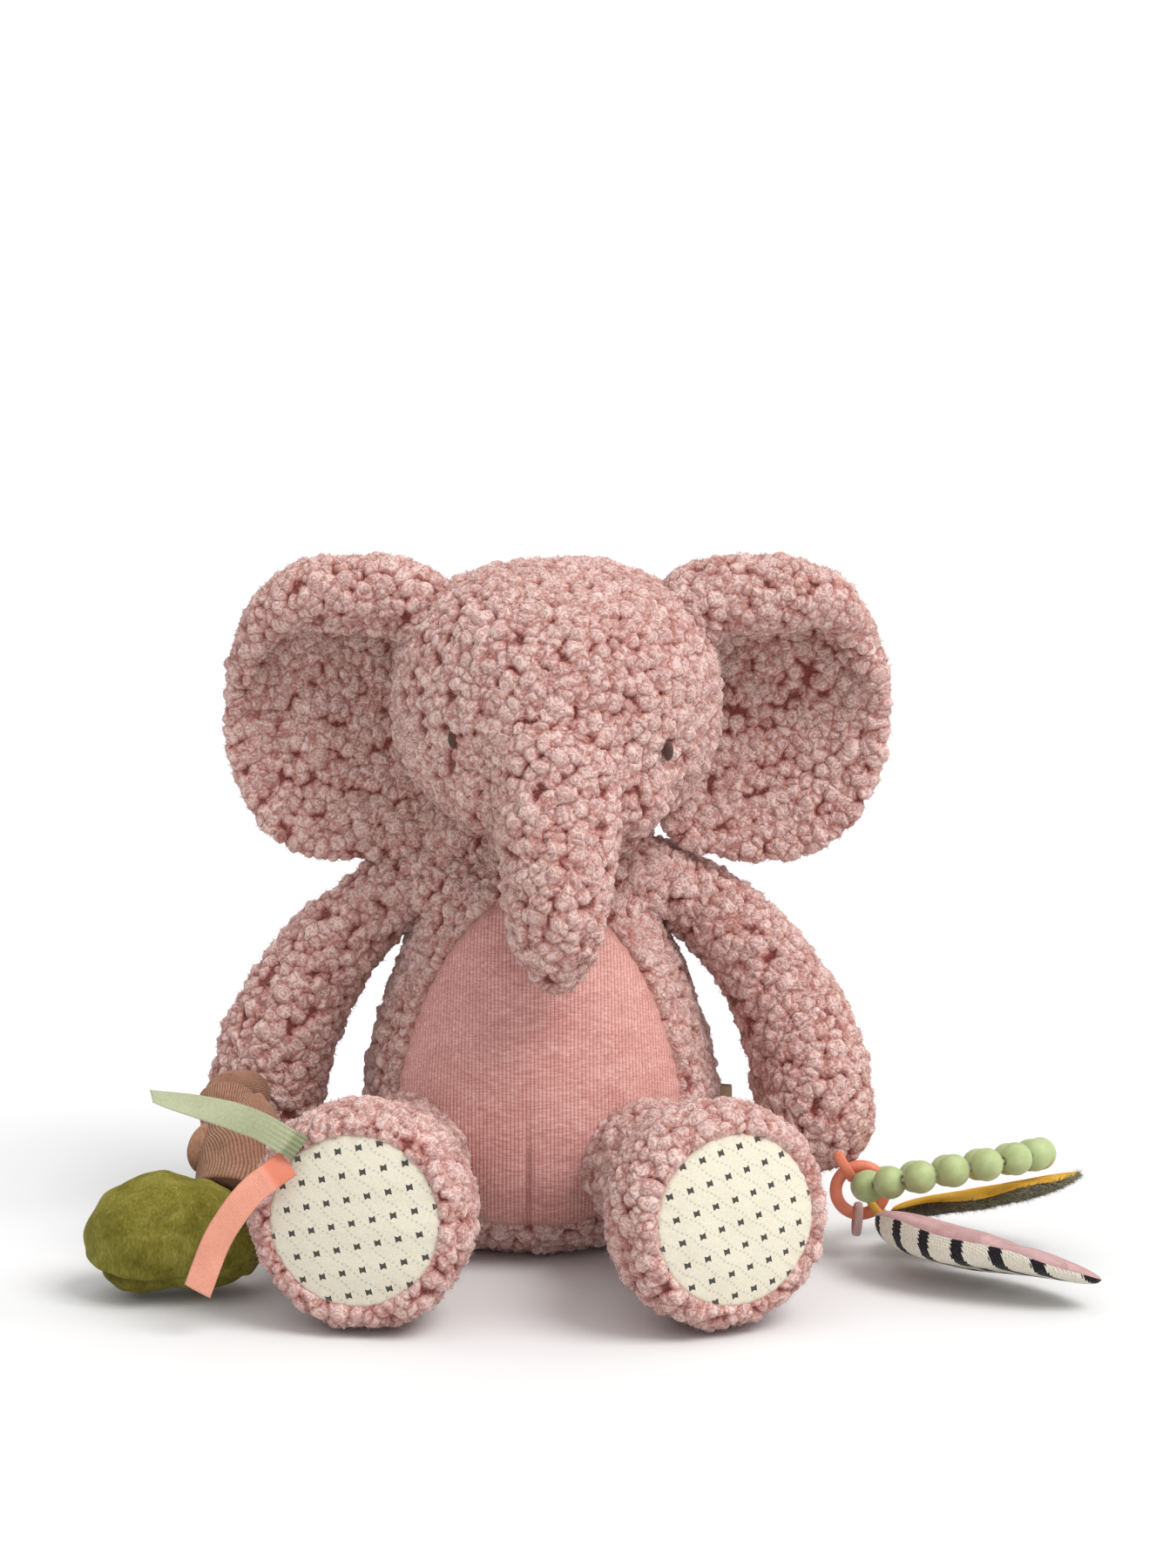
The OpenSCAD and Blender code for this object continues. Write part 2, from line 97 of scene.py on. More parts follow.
studio_sky()
sun_data = bpy.data.lights.new("key", "SUN")
sun_data.energy = 2.0
sun_data.angle = math.radians(32)
sun_data.color = (1, 0.985, 0.965)
sun = bpy.data.objects.new("key", sun_data)
sun.rotation_euler = Vector((-0.62, 0.42, -1.0)).to_track_quat("-Z", "Y").to_euler()
scene.collection.objects.link(sun)


# ---- Meshes ----

def make_mesh(name, points, faces):
    mesh = bpy.data.meshes.new(name)
    mesh.from_pydata((np.asarray(points, float) * MM).tolist(), [], faces)
    mesh.validate()
    obj = bpy.data.objects.new(name, mesh)
    scene.collection.objects.link(obj)
    mesh.shade_smooth()
    return obj


def read(items, key, width=1, kind=float):
    """One value, or a row of them, from each of a mesh's elements."""
    flat = np.empty(len(items) * width, kind)
    items.foreach_get(key, flat)
    return flat.reshape(-1, width) if width > 1 else flat


def get_points(obj):
    """The mesh's points, in millimetres."""
    return read(obj.data.vertices, "co", 3) / MM


def set_points(obj, points):
    obj.data.vertices.foreach_set("co", (points * MM).ravel())
    obj.data.update()


def get_normals(obj):
    return read(obj.data.vertex_normals, "vector", 3)


def set_attribute(obj, name, values):
    layer = obj.data.attributes.new(name, "FLOAT", "POINT")
    layer.data.foreach_set("value", np.asarray(values, float))


def set_uv(obj, plane):
    """Gives each point its place in the flat cloth, in millimetres."""
    layer = obj.data.uv_layers.new(name="UVMap")
    layer.data.foreach_set("uv", plane[read(obj.data.loops, "vertex_index", kind=int)].ravel())


def apply_modifier(obj, kind, **settings):
    modifier = obj.modifiers.new(kind.lower(), kind)
    for key, value in settings.items():
        setattr(modifier, key, value)
    graph = bpy.context.evaluated_depsgraph_get()
    shaped = bpy.data.meshes.new_from_object(obj.evaluated_get(graph))
    obj.modifiers.clear()
    old = obj.data
    obj.data = shaped
    bpy.data.meshes.remove(old)
    shaped.name = obj.name
    shaped.shade_smooth()


def joined(name, parts):
    """One mesh from several (points, faces) pairs, which may overlap."""
    points, faces = [], []
    for some_points, some_faces in parts:
        start = len(points)
        points.extend(np.asarray(some_points, float).tolist())
        faces.extend([[start + i for i in face] for face in some_faces])
    return make_mesh(name, points, faces)


def merged(name, parts, voxel, smoothing, levels):
    """Closed parts melted into one smooth skin."""
    obj = joined(name, parts)
    apply_modifier(obj, "REMESH", mode="VOXEL", voxel_size=voxel * MM)
    if smoothing:
        apply_modifier(obj, "SMOOTH", factor=0.5, iterations=smoothing)
    if levels:
        apply_modifier(obj, "SUBSURF", levels=levels)
    return obj


def cosd(w):
    return math.cos(math.radians(w))


def sind(w):
    return math.sin(math.radians(w))


def full_turn(steps):
    """Bearings once round, in radians."""
    return np.linspace(0, 2 * math.pi, steps, endpoint=False)


def circle(w, a, b):
    """The points at bearings w on the unit circle from a towards b."""
    return np.cos(w)[:, None] * a + np.sin(w)[:, None] * b


def loft(rings):
    """A tube through rings of equal length, closed at both ends."""
    sides = len(rings[0])
    points = np.concatenate(rings)
    faces = [[i * sides + k, i * sides + (k + 1) % sides, (i + 1) * sides + (k + 1) % sides, (i + 1) * sides + k]
             for i in range(len(rings) - 1) for k in range(sides)]
    faces.append(list(range(sides - 1, -1, -1)))
    faces.append([(len(rings) - 1) * sides + k for k in range(sides)])
    return points, faces


def lathe(profile, sides=72):
    """A solid of revolution round Z from (radius, height) pairs, from the bottom up."""
    turn = full_turn(sides)
    rings = [np.stack([max(r, 0.05) * np.cos(turn), max(r, 0.05) * np.sin(turn), np.full(sides, z)], 1)
             for r, z in profile]
    return loft(rings)


def moved(part, matrix=None, offset=(0, 0, 0)):
    points, faces = part
    if matrix is not None:
        points = points @ np.asarray(matrix).T
    return points + np.asarray(offset, float), faces


def turned(x=0, y=0, z=0):
    """Rotation about X, then Y, then Z, in degrees."""
    rx = np.array([[1, 0, 0], [0, cosd(x), -sind(x)], [0, sind(x), cosd(x)]])
    ry = np.array([[cosd(y), 0, sind(y)], [0, 1, 0], [-sind(y), 0, cosd(y)]])
    rz = np.array([[cosd(z), -sind(z), 0], [sind(z), cosd(z), 0], [0, 0, 1]])
    return rz @ ry @ rx


def ball(centre, r, sides=32):
    steps = np.linspace(-90, 90, sides // 2 + 1)
    part = lathe([(r * cosd(w), r * sind(w)) for w in steps], sides)
    return moved(part, offset=centre)


def unit(v):
    v = np.asarray(v, float)
    return v / np.linalg.norm(v)


def heading(centres, i):
    """The way that a path of points runs at point i."""
    return unit(centres[min(i + 1, len(centres) - 1)] - centres[max(i - 1, 0)])


def tube(stations, sides=32):
    """A round tube through [centre, radius] stations, with domed ends."""
    stations = [(np.asarray(c, float), r) for c, r in stations]
    domes = []
    for (end, r), inner in ((stations[0], stations[1]), (stations[-1], stations[-2])):
        out = unit(end - inner[0])
        domes.append([(end + out * r * sind(w), r * cosd(w))
                      for w in (10, 25, 40, 55, 70, 84)])
    stations = domes[0][::-1] + stations + domes[1]
    turn = full_turn(sides)
    rings = []
    for i, (centre, r) in enumerate(stations):
        way = heading([c for c, _ in stations], i)
        a = unit(np.cross(way, [0.02, 1, 0.01]))
        b = np.cross(way, a)
        rings.append(centre + r * circle(turn, a, b))
    return loft(rings)


def bezier(a, b, c, t):
    a, b, c = (np.asarray(v, float) for v in (a, b, c))
    return (1 - t) ** 2 * a + 2 * t * (1 - t) * b + t * t * c


# ---- Random fields ----

def hashed(cell, seed):
    n = (cell[:, 0] * 73856093) ^ (cell[:, 1] * 19349663) ^ (cell[:, 2] * 83492791) ^ (seed * 40503)
    n = n.astype(np.uint64) & np.uint64(0xFFFFFFFF)
    draws = []
    for k in range(4):
        n = (n * np.uint64(1664525) + np.uint64(1013904223 + 977 * k)) & np.uint64(0xFFFFFFFF)
        m = n ^ (n >> np.uint64(15))
        m = (m * np.uint64(73244475)) & np.uint64(0xFFFFFFFF)
        m = m ^ (m >> np.uint64(13))
        draws.append(m.astype(float) / 2.0 ** 32)
    return np.stack(draws, 1)


def cells(points, size, seed):
    """How far one random ball per cell stands out at each point, from 0 to about 1, by how much it beats the
    next ball, and its random number."""
    p = points / size
    base = np.floor(p).astype(np.int64)
    height, second, key = np.zeros(len(p)), np.zeros(len(p)), np.zeros(len(p))
    for step in itertools.product((-1, 0, 1), repeat=3):
        cell = base + np.array(step)
        draw = hashed(cell, seed)
        r = 0.66 + 0.34 * draw[:, 3]
        ball_height = np.sqrt(np.clip(r * r - ((cell + draw[:, :3] - p) ** 2).sum(1), 0, None)) * 1.12
        key = np.where(ball_height > height, draw[:, 0], key)
        second = np.where(ball_height > height, height, np.maximum(second, ball_height))
        height = np.maximum(height, ball_height)
    return height, height - second, key


def waves(points, size, seed, count=7):
    """Smooth noise, roughly from -1 to 1, that changes over the given size."""
    rng = np.random.default_rng(seed)
    total = np.zeros(len(points))
    for _ in range(count):
        way = unit(rng.normal(size=3)) * rng.uniform(0.7, 1.5) * 2 * math.pi / (2.2 * size)
        total += np.sin(points @ way + rng.uniform(0, 6.28))
    return total / math.sqrt(count)


def kept_above(points, low):
    """The same points, with none of them below a height."""
    points[:, 2] = np.maximum(points[:, 2], low)
    return points


def smoothstep(x, low, high):
    t = np.clip((x - low) / (high - low), 0, 1)
    return t * t * (3 - 2 * t)


# ---- Curly fleece: small knots of yarn that stand out of the base skin ----

# The curls' size, and the lowest that the fleece and its fibres reach above the floor
CURL = 4.4
FLEECE_FLOOR, FUZZ_FLOOR = 0.25, 0.2


def fleece(obj, seed, height, calm=None):
    """Raises curls on the mesh; calm(points) is 1 under full pile, and less where a seam or an eye flattens it."""
    points, normals = get_points(obj), get_normals(obj)
    warp = np.stack([waves(points, 3.2, seed + k) for k in range(3)], 1)
    warped = points + 0.6 * warp
    knots, lead, key = cells(warped, CURL, seed)
    loops, _, key2 = cells(warped, CURL * 0.42, seed + 9)
    apart = smoothstep(lead, 0, 0.22)
    relief = knots * (0.62 + 0.28 * apart) + 0.2 * loops * (0.35 + knots)
    full = np.ones(len(points)) if calm is None else calm(points)
    raised = points + normals * (height * full * relief + 0.4 * full * waves(points, 14, seed + 21))[:, None]
    stray = np.stack([waves(points, 2.6, seed + 40 + k) for k in range(3)], 1)
    raised += 0.45 * full[:, None] * stray * knots[:, None]
    set_points(obj, kept_above(raised, FLEECE_FLOOR))
    # pile holds each point's height in the pile, lowered where two curls meet; the fleece material paints shade from
    # it, darkest in the crevices
    set_attribute(obj, "pile", np.clip(relief * (0.72 + 0.28 * apart), 0, 1.1))
    set_attribute(obj, "tuft", 0.7 * key + 0.3 * key2)


def fibres(points, faces, normals, count, length, width, lean, seed, spread=0.5):
    """Thin closed spikes that stand on the faces and lean one way: their points, faces and roots."""
    rng = np.random.default_rng(seed)
    corner = faces[rng.integers(0, len(faces), count)][:, :3]
    share = rng.dirichlet((1, 1, 1), count)
    root = (points[corner] * share[:, :, None]).sum(1)
    way = normals[corner[:, 0]] * 0.6 + np.asarray(lean, float) + rng.normal(scale=spread, size=(count, 3))
    way /= np.linalg.norm(way, axis=1, keepdims=True)
    side = np.cross(way, rng.normal(size=(count, 3)))
    side /= np.linalg.norm(side, axis=1, keepdims=True)
    other = np.cross(way, side)
    size = length * rng.uniform(0.55, 1.1, count)[:, None]
    foot, r = root - 0.15 * way, width * 0.58
    new = np.stack([foot + side * r, foot + (other * 0.87 - side * 0.5) * r,
                    foot - (other * 0.87 + side * 0.5) * r, root + way * size], 1)
    start = len(points) + 4 * np.arange(count)[:, None, None]
    return new, start + np.array([[0, 2, 1], [0, 1, 3], [1, 2, 3], [2, 0, 3]]), root


# A spike's three foot points and its tip
SPIKE = np.array([0.0, 0.0, 0.0, 1.0])
FUZZ_WIDTH = 0.2


def grown(obj, name, count, length, width, lean, seed, spread=0.5, keep=None):
    """The piece rebuilt with loose fibres, where keep(roots) allows them, and how many of them it has."""
    points = get_points(obj)
    every = [list(p.vertices) for p in obj.data.polygons]
    new, faces, roots = fibres(points, np.array([f[:3] for f in every]), get_normals(obj), count, length, width,
                               lean, seed, spread)
    if keep is not None:
        good = keep(roots) > 0.9
        new, faces = new[good], faces[:int(good.sum())]
    new = kept_above(new.reshape(-1, 3), FUZZ_FLOOR)
    bpy.data.objects.remove(obj)
    out = make_mesh(name, np.concatenate([points, new]), every + faces.reshape(-1, 3).tolist())
    return out, len(points), len(new) // 4


def fuzzy(obj, count, length, seed, keep=None):
    """A fleece piece with fine loose fibres, painted darker at their roots and lighter at their tips, as the pile's
    painted shade runs from crevice to top.
    """
    name = obj.name
    pile, tuft = (read(obj.data.attributes[key].data, "value") for key in ("pile", "tuft"))
    obj, _, count = grown(obj, name + "_new", count, length, FUZZ_WIDTH, (0, 0, -0.1), seed, 0.6, keep)
    obj.name = obj.data.name = name
    rng = np.random.default_rng(seed + 1)
    # Painted shade: each fibre's pile value rises from root to tip, so it is painted darker at the root and lighter at
    # the tip
    set_attribute(obj, "pile", np.concatenate([pile, np.tile(0.45 + 0.5 * SPIKE, count)]))
    set_attribute(obj, "tuft", np.concatenate([tuft, np.repeat(rng.uniform(0.3, 1, count), 4)]))
    return obj


# ---- Materials ----

def linear(colour):
    """A grey level, or red, green and blue from 0 to 255, as the shader's linear colour."""
    if isinstance(colour, (int, float)):
        return (colour, colour, colour, 1)
    values = [v / 255 for v in colour]
    return tuple(v / 12.92 if v <= 0.04045 else ((v + 0.055) / 1.055) ** 2.4 for v in values) + (1,)


WHITE = (255, 255, 255)


class Material:
    """A node material, built from calls that each return an output socket."""

    def __init__(self, name, sheen_tint=None, **settings):
        self.material = bpy.data.materials.new(name)
        self.material.use_nodes = True
        self.tree = self.material.node_tree
        self.shader = self.tree.nodes["Principled BSDF"]
        for key, value in settings.items():
            self.shader.inputs[key.replace("_", " ").title().replace("Ior", "IOR")].default_value = value
        if sheen_tint:
            self.shader.inputs["Sheen Tint"].default_value = linear(sheen_tint)
        self._place = None

    def node(self, kind, **inputs):
        node = self.tree.nodes.new(kind)
        for key, value in inputs.items():
            if key in node.bl_rna.properties and not isinstance(value, bpy.types.NodeSocket):
                setattr(node, key, value)
            else:
                self.put(node.inputs[key], value)
        return node

    def put(self, socket, value):
        if isinstance(value, bpy.types.NodeSocket):
            self.tree.links.new(value, socket)
        else:
            socket.default_value = value

    @property
    def place(self):
        """The object's own coordinates, in metres, which stay with the piece as it moves."""
        if self._place is None:
            self._place = self.tree.nodes.new("ShaderNodeTexCoord").outputs["Object"]
        return self._place

    def attribute(self, name):
        node = self.tree.nodes.new("ShaderNodeAttribute")
        node.attribute_name = name
        return node.outputs["Fac"]

    def scaled(self, x, y, z):
        return self.node("ShaderNodeMapping", Vector=self.place, Scale=(x, y, z)).outputs["Vector"]

    def noise(self, size, detail=3, vector=None, rough=0.55, distortion=0):
        """Noise whose blobs are about size millimetres."""
        return self.node("ShaderNodeTexNoise", Scale=1 / (size * MM), Detail=detail, Roughness=rough,
                         Distortion=distortion, Vector=vector or self.place).outputs["Fac"]

    def math(self, operation, a, b=0.5, c=0.5):
        node = self.tree.nodes.new("ShaderNodeMath")
        node.operation = operation
        for socket, value in zip(node.inputs, (a, b, c)):
            self.put(socket, value)
        return node.outputs[0]

    def add(self, a, b):
        return self.math("ADD", a, b)

    def minus(self, a, b):
        return self.math("SUBTRACT", a, b)

    def times(self, a, b):
        return self.math("MULTIPLY", a, b)

    def share(self, a):
        """The part after the decimal point."""
        return self.math("FRACT", a)

    def wave(self, a, period):
        return self.math("SINE", self.times(a, 2 * math.pi / period))

    def flat(self):
        """The two flat coordinates of a piece cut from cloth, in millimetres."""
        split = self.tree.nodes.new("ShaderNodeSeparateXYZ")
        self.put(split.inputs["Vector"], self.tree.nodes.new("ShaderNodeUVMap").outputs["UV"])
        return split.outputs["X"], split.outputs["Y"]

    def ramp(self, value, *stops):
        """Colours or numbers at rising positions."""
        node = self.tree.nodes.new("ShaderNodeValToRGB")
        self.put(node.inputs["Fac"], value)
        elements = node.color_ramp.elements
        while len(elements) < len(stops):
            elements.new(0.5)
        for element, (position, colour) in zip(elements, stops):
            element.position = position
            element.color = linear(colour)
        return node.outputs["Color"]

    def mix(self, factor, a, b, blend="MIX"):
        node = self.tree.nodes.new("ShaderNodeMix")
        node.data_type = "RGBA"
        node.blend_type = blend
        self.put(node.inputs[0], factor)
        for socket, value in ((node.inputs[6], a), (node.inputs[7], b)):
            self.put(socket, value if isinstance(value, bpy.types.NodeSocket) else linear(value))
        return node.outputs[2]

    def tint(self, factor, colour, tone):
        return self.mix(factor, colour, tone, "MULTIPLY")

    def bump(self, height, distance, strength):
        return self.node("ShaderNodeBump", Distance=distance * MM, Strength=strength, Height=height).outputs["Normal"]

    def finish(self, colour, normal=None, roughness=None):
        self.put(self.shader.inputs["Base Color"], colour)
        if normal is not None:
            self.put(self.shader.inputs["Normal"], normal)
        if roughness is not None:
            self.put(self.shader.inputs["Roughness"], roughness)
        return self.material


def fleece_material():
    m = Material("curly_fleece", (255, 228, 223), roughness=0.95, sheen_weight=0.35, sheen_roughness=0.45,
                 specular_ior_level=0.15)
    pile, tuft = m.attribute("pile"), m.attribute("tuft")
    # Painted shade: the pile ramp runs from dark rose deep in the crevices between curls to pale pink at the curls'
    # tops
    body = m.ramp(pile, (0.05, (152, 87, 80)), (0.25, (191, 131, 123)), (0.5, (222, 177, 169)),
                  (0.85, (245, 221, 215)))
    tone = m.ramp(m.add(m.times(tuft, 0.7), m.times(m.noise(22, 2), 0.4)),
                  (0.2, (226, 212, 210)), (0.85, (255, 253, 252)))
    colour = m.tint(0.8, body, tone)
    # Yarn strands, 1.3 mm apart, curl round centres about 3 mm apart
    spacing, strand = 3.0, 1.3
    swirl = m.node("ShaderNodeTexNoise", Scale=1 / (1.7 * MM), Detail=2, Vector=m.place)
    shifted = m.node("ShaderNodeVectorMath", operation="MULTIPLY_ADD")
    for socket, value in zip(shifted.inputs, (swirl.outputs["Color"], (2.2 * MM,) * 3, m.place)):
        m.put(socket, value)
    rings = m.node("ShaderNodeTexVoronoi", Scale=1 / (spacing * MM), Vector=shifted.outputs["Vector"])
    curls = m.wave(rings.outputs["Distance"], strand / spacing)
    strands = m.noise(0.7, 3, rough=0.6, distortion=1.5)
    both = m.add(m.times(curls, 0.22), m.add(m.times(strands, 0.7), 0.17))
    # Painted shade and light: the same strand pattern that makes the bump darkens its hollows and lightens its crowns
    colour = m.tint(0.85, colour, m.ramp(both, (0.25, (206, 170, 163)), (0.5, (240, 226, 223)), (0.8, WHITE)))
    return m.finish(colour, m.bump(both, 0.9, 0.85))


FLEECE = fleece_material()


def dress(obj, material):
    obj.data.materials.clear()
    obj.data.materials.append(material)


def hand_over(obj, nodes=(), body=None):
    """Hangs the piece on its body and hides the CAD nodes that it stands for."""
    if body:
        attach(obj, body)
    if nodes:
        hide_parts(*nodes)


def fleece_piece(obj, seed, count, fuzz_seed, nodes, body, calm=None, height=2.7, length=2.4):
    """Turns a smooth skin into a finished fleece piece that rides on one body."""
    fleece(obj, seed, height, calm)
    obj = fuzzy(obj, count, length, fuzz_seed, calm)
    dress(obj, FLEECE)
    hand_over(obj, nodes, body)


# ---- Torso ----

BASE_R, TORSO_R, WIDEST_Z = 33, 67, 46
BELLY_Z, BELLY_TAPER = 76, 0.22


def torso_r(z):
    """The torso's radius at a height; above its widest it narrows by 35 mm over the next 100 mm."""
    return TORSO_R - 35 * np.maximum(np.asarray(z, float) - WIDEST_Z, 0) ** 1.6 / 100 ** 1.6


def belly_r(w):
    """The belly outline's radius at a bearing, with a scallop on each side of the bottom."""
    w = np.degrees(w) % 360
    return 49 + 10 * np.sin(np.radians(w)) ** 2 + np.where(w > 180, 3 * np.abs(np.sin(np.radians(2 * w))), 0)


def belly_distance(points):
    """How far a point, seen from the front, is outside the belly's outline; less than 0 inside."""
    x, z = points[:, 0], points[:, 2] - BELLY_Z
    w = np.arctan2(z, x / (1 - BELLY_TAPER * np.sin(np.arctan2(z, x))))
    return np.hypot(x / (1 - BELLY_TAPER * np.sin(w)), z) - belly_r(w)


# The smooth skin lies this far inside the CAD's, to leave room for the curls
INSET = 1.5
torso_profile = ([(0.1, INSET), (20, INSET), (BASE_R, INSET)]
                 + [(BASE_R + (TORSO_R - INSET - BASE_R) * cosd(w),
                     WIDEST_Z + (WIDEST_Z - INSET) * sind(w)) for w in range(-78, 1, 12)]
                 + [(float(torso_r(z)) - INSET, z) for z in range(54, 138, 8)] + [(26, 144), (14, 150), (0.1, 152)])
torso = merged("torso_fleece", [lathe(torso_profile), ball((-33, -3, 133), 17), ball((33, -3, 133), 17)], 3.2, 4, 2)


def torso_calm(points):
    return np.where(points[:, 1] < 0, smoothstep(belly_distance(points), -1.5, 1.5), 1.0)


def sink_belly(points):
    """Lowers the fleece behind the belly panel."""
    depth = np.where(points[:, 1] < 0, 3.5 * (1 - smoothstep(belly_distance(points), -3, 1.0)), 0)
    out = points.copy()
    out[:, 2] = 0
    return points - depth[:, None] * out / np.maximum(np.linalg.norm(out, axis=1), 1)[:, None]


set_points(torso, sink_belly(get_points(torso)))
fleece_piece(torso, 11, 9000, 12, ("torso_shell", "torso_filling"), "torso", torso_calm)

# ---- Neck ----

neck = merged("neck_fleece", [ball((0, -4, 151), 25), ball((-24, -2, 150), 17),
                              ball((24, -2, 150), 16)], 2.6, 3, 2)
fleece_piece(neck, 13, 1500, 14, ("neck_filling",), "neck")

# ---- Head and trunk, one skin that bends where the trunk begins ----

HEAD = np.array([6.5, -15.0, 203.0])
HEAD_R, CROWN_H, CHIN_H = 60, 51, 47


def head_profile(inset):
    rows = [(0.1, -(CHIN_H - inset))]
    for w in range(-80, 81, 8):
        c, s = cosd(w), sind(w)
        r = (HEAD_R - inset) * c ** (0.77 if w > 0 else 0.55)
        rows.append((r, (CROWN_H - inset) * s ** 0.85 if w > 0 else -(CHIN_H - inset) * -s))
    return rows + [(0.1, CROWN_H - inset)]


trunk_root, trunk_bend, trunk_end = [8, -58, 180], [7, -80, 150], [7, -77, 128]
trunk_stations = ([([7.5, -46, 190], 26), ([8, -58, 181], 24.5)]
                  + [(bezier(trunk_root, trunk_bend, trunk_end, t), 24 - INSET * 0.7 - 6 * min(1, 1.35 * t))
                     for t in (0.2, 0.4, 0.6, 0.8)] + [([7, -76.5, 123], 14), ([7, -76, 117.5], 10.2)])
cheeks = [ball((-16, -50, 176), 16), ball((31, -50, 176), 16), ball((7.5, -55, 186), 26)]
head = merged("head_and_trunk_fleece",
              [moved(lathe(head_profile(INSET)), offset=HEAD), tube(trunk_stations)] + cheeks, 3.3, 9, 2)
EYE_BEARING, EYE_HEIGHT = {-1: 38, 1: 42.5}, {-1: 191.8, 1: 187}
EYE_R = HEAD_R - 0.5
EYES = [np.array([HEAD[0] + side * EYE_R * sind(EYE_BEARING[side]), HEAD[1] - EYE_R * cosd(EYE_BEARING[side]),
                  EYE_HEIGHT[side]]) for side in (-1, 1)]


def head_calm(points):
    full = np.ones(len(points))
    for eye in EYES:
        full = np.minimum(full, 0.3 + 0.7 * smoothstep(np.linalg.norm(points - eye, axis=1), 2.0, 5.5))
    return full


fleece(head, 17, 2.7, head_calm)
head = fuzzy(head, 12000, 2.4, 18, head_calm)
dress(head, FLEECE)
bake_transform(head)
hand_over(head, ("head_shell", "head_filling", "trunk_shell", "trunk_filling"))

# ---- Ears ----

EAR_Z, EAR_OUT, EAR_HALF = 197.5, 82, 2.6


def ear_rim(w):
    """An oval outer half, and an inner half that is squarer where it meets the head."""
    inner = smoothstep(-np.cos(w), -0.1, 0.45)
    power = 2.15 + 1.7 * inner
    return ((np.abs(np.cos(w)) / (41 + 7 * inner)) ** power + (np.abs(np.sin(w)) / 55.5) ** power) ** (-1 / power)


def ear_layer_point(side, w, q, offset):
    """A point of the ear at bearing w and share q of the way to its rim; offset is forwards."""
    reach = ear_rim(w) * q
    u, z = EAR_OUT + reach * np.cos(w), EAR_Z + reach * np.sin(w)
    out = reach / 56
    y = 8 - 13 * out * out - offset
    return np.stack([HEAD[0] + side * u, y + 0 * z, z], -1)


def ear_part(side):
    w = full_turn(64)
    rings = [ear_layer_point(side, w, q * 0.965, EAR_HALF) for q in np.linspace(0.02, 1, 18)]
    rings.append(ear_layer_point(side, w, 1, 0))
    rings += [ear_layer_point(side, w, q * 0.965, -EAR_HALF) for q in np.linspace(1, 0.02, 18)]
    return loft(rings if side < 0 else rings[::-1])


def ear_roll(side):
    """The top edge, rolled forwards, from beside the head to the outer top."""
    stations = []
    for t in np.linspace(0, 1, 15):
        w = math.radians(132 - 112 * t)
        rim = ear_layer_point(side, np.array([w]), 0.86, 6.5)[0]
        r = 2.2 + 11.0 * smoothstep(t, 1.08, 0.25)
        stations.append((rim + np.array([0, -r * 0.35, -r * 0.25 * math.sin(w)]), r))
    return tube(stations, 24)


SIDES = ((0, -1, "left"), (1, 1, "right"))
for index, side, label in SIDES:
    ear = merged(f"ear_{label}_fleece", [ear_part(side), ear_roll(side)], 2.6, 3, 2)
    fleece_piece(ear, 31 + index, 9000, 33 + index, [f"ear_{label}_{part}" for part in ("front", "filling", "back")],
                 f"ear_{label}", height=2.4, length=2.3)

# ---- Arms ----

HANDS = ([-104, -13, 46], [103, -25, 50])
SHOULDER_R, HAND_R = 14.5, 21
for index, side, label in SIDES:
    stations = []
    for t in np.linspace(0, 1, 12):
        r = SHOULDER_R + (HAND_R - SHOULDER_R) * (0 if t < 0.15 else sind(90 * (t - 0.15) / 0.85))
        stations.append((bezier([side * 50, 0, 131], [side * 97, -3, 104], HANDS[index], t), r - INSET * 0.8))
    shoulder = [([side * 36, 0, 137], 12), ([side * 43, 0, 134.5], 13)]
    arm = merged(f"arm_{label}_fleece", [tube(shoulder + stations)], 2.8, 3, 2)
    fleece_piece(arm, 41 + index, 5000, 43 + index, (f"arm_{label}_shell", f"arm_{label}_filling"),
                 f"arm_{label}")

# ---- Legs, with a round seat for the sole ----

HIPS = ([-46, -47, 39], [36, -50, 39])
FEET = ([-59, -124, 40], [62, -124, 40])
FOOT_TURN = (-10, 25)
FOOT_R, FOOT_BACK, SOLE_R = 39, 27, 30.5


def foot_frame(index):
    """The foot's rotation and centre: its own +Z points out through the sole."""
    return turned(z=FOOT_TURN[index]) @ turned(x=86), np.array(FEET[index], float)


def foot_profile(inset):
    heel, rim = 17, 29
    rows = [(0.1, -FOOT_BACK + inset)]
    rows += [(heel + (FOOT_R - inset - heel) * cosd(w),
              (FOOT_BACK - inset) * sind(w)) for w in range(-80, 1, 16)]
    rows += [(rim + (FOOT_R - inset - rim) * cosd(w),
              (15 - inset * 0.3) * sind(w) / sind(60)) for w in (15, 30, 45, 60)]
    return rows + [(26, 13.4), (0.1, 13.2)]


def in_foot(index, points):
    """Points in the foot's own frame."""
    turn, centre = foot_frame(index)
    return (points - centre) @ turn


for index, _, label in SIDES:
    turn, centre = foot_frame(index)
    hip = np.array(HIPS[index], float)
    way = centre - hip
    leg_tube = tube([(hip - 2 * unit(way), 22), (hip + 0.3 * way, 22.5), (hip + 0.6 * way, 25), (hip + 0.85 * way, 27)])
    leg = merged(f"leg_{label}_fleece", [moved(lathe(foot_profile(INSET)), turn, centre), leg_tube], 2.9, 3, 2)

    def leg_calm(points, index=index):
        local = in_foot(index, points)
        radius = np.hypot(local[:, 0], local[:, 1])
        return np.where(local[:, 2] > 8, smoothstep(radius, SOLE_R - 2.0, SOLE_R + 0.8), 1.0)

    fleece_piece(leg, 51 + index, 6000, 53 + index, (f"leg_{label}_shell", f"leg_{label}_filling"),
                 f"leg_{label}", leg_calm)

# ---- Tail ----

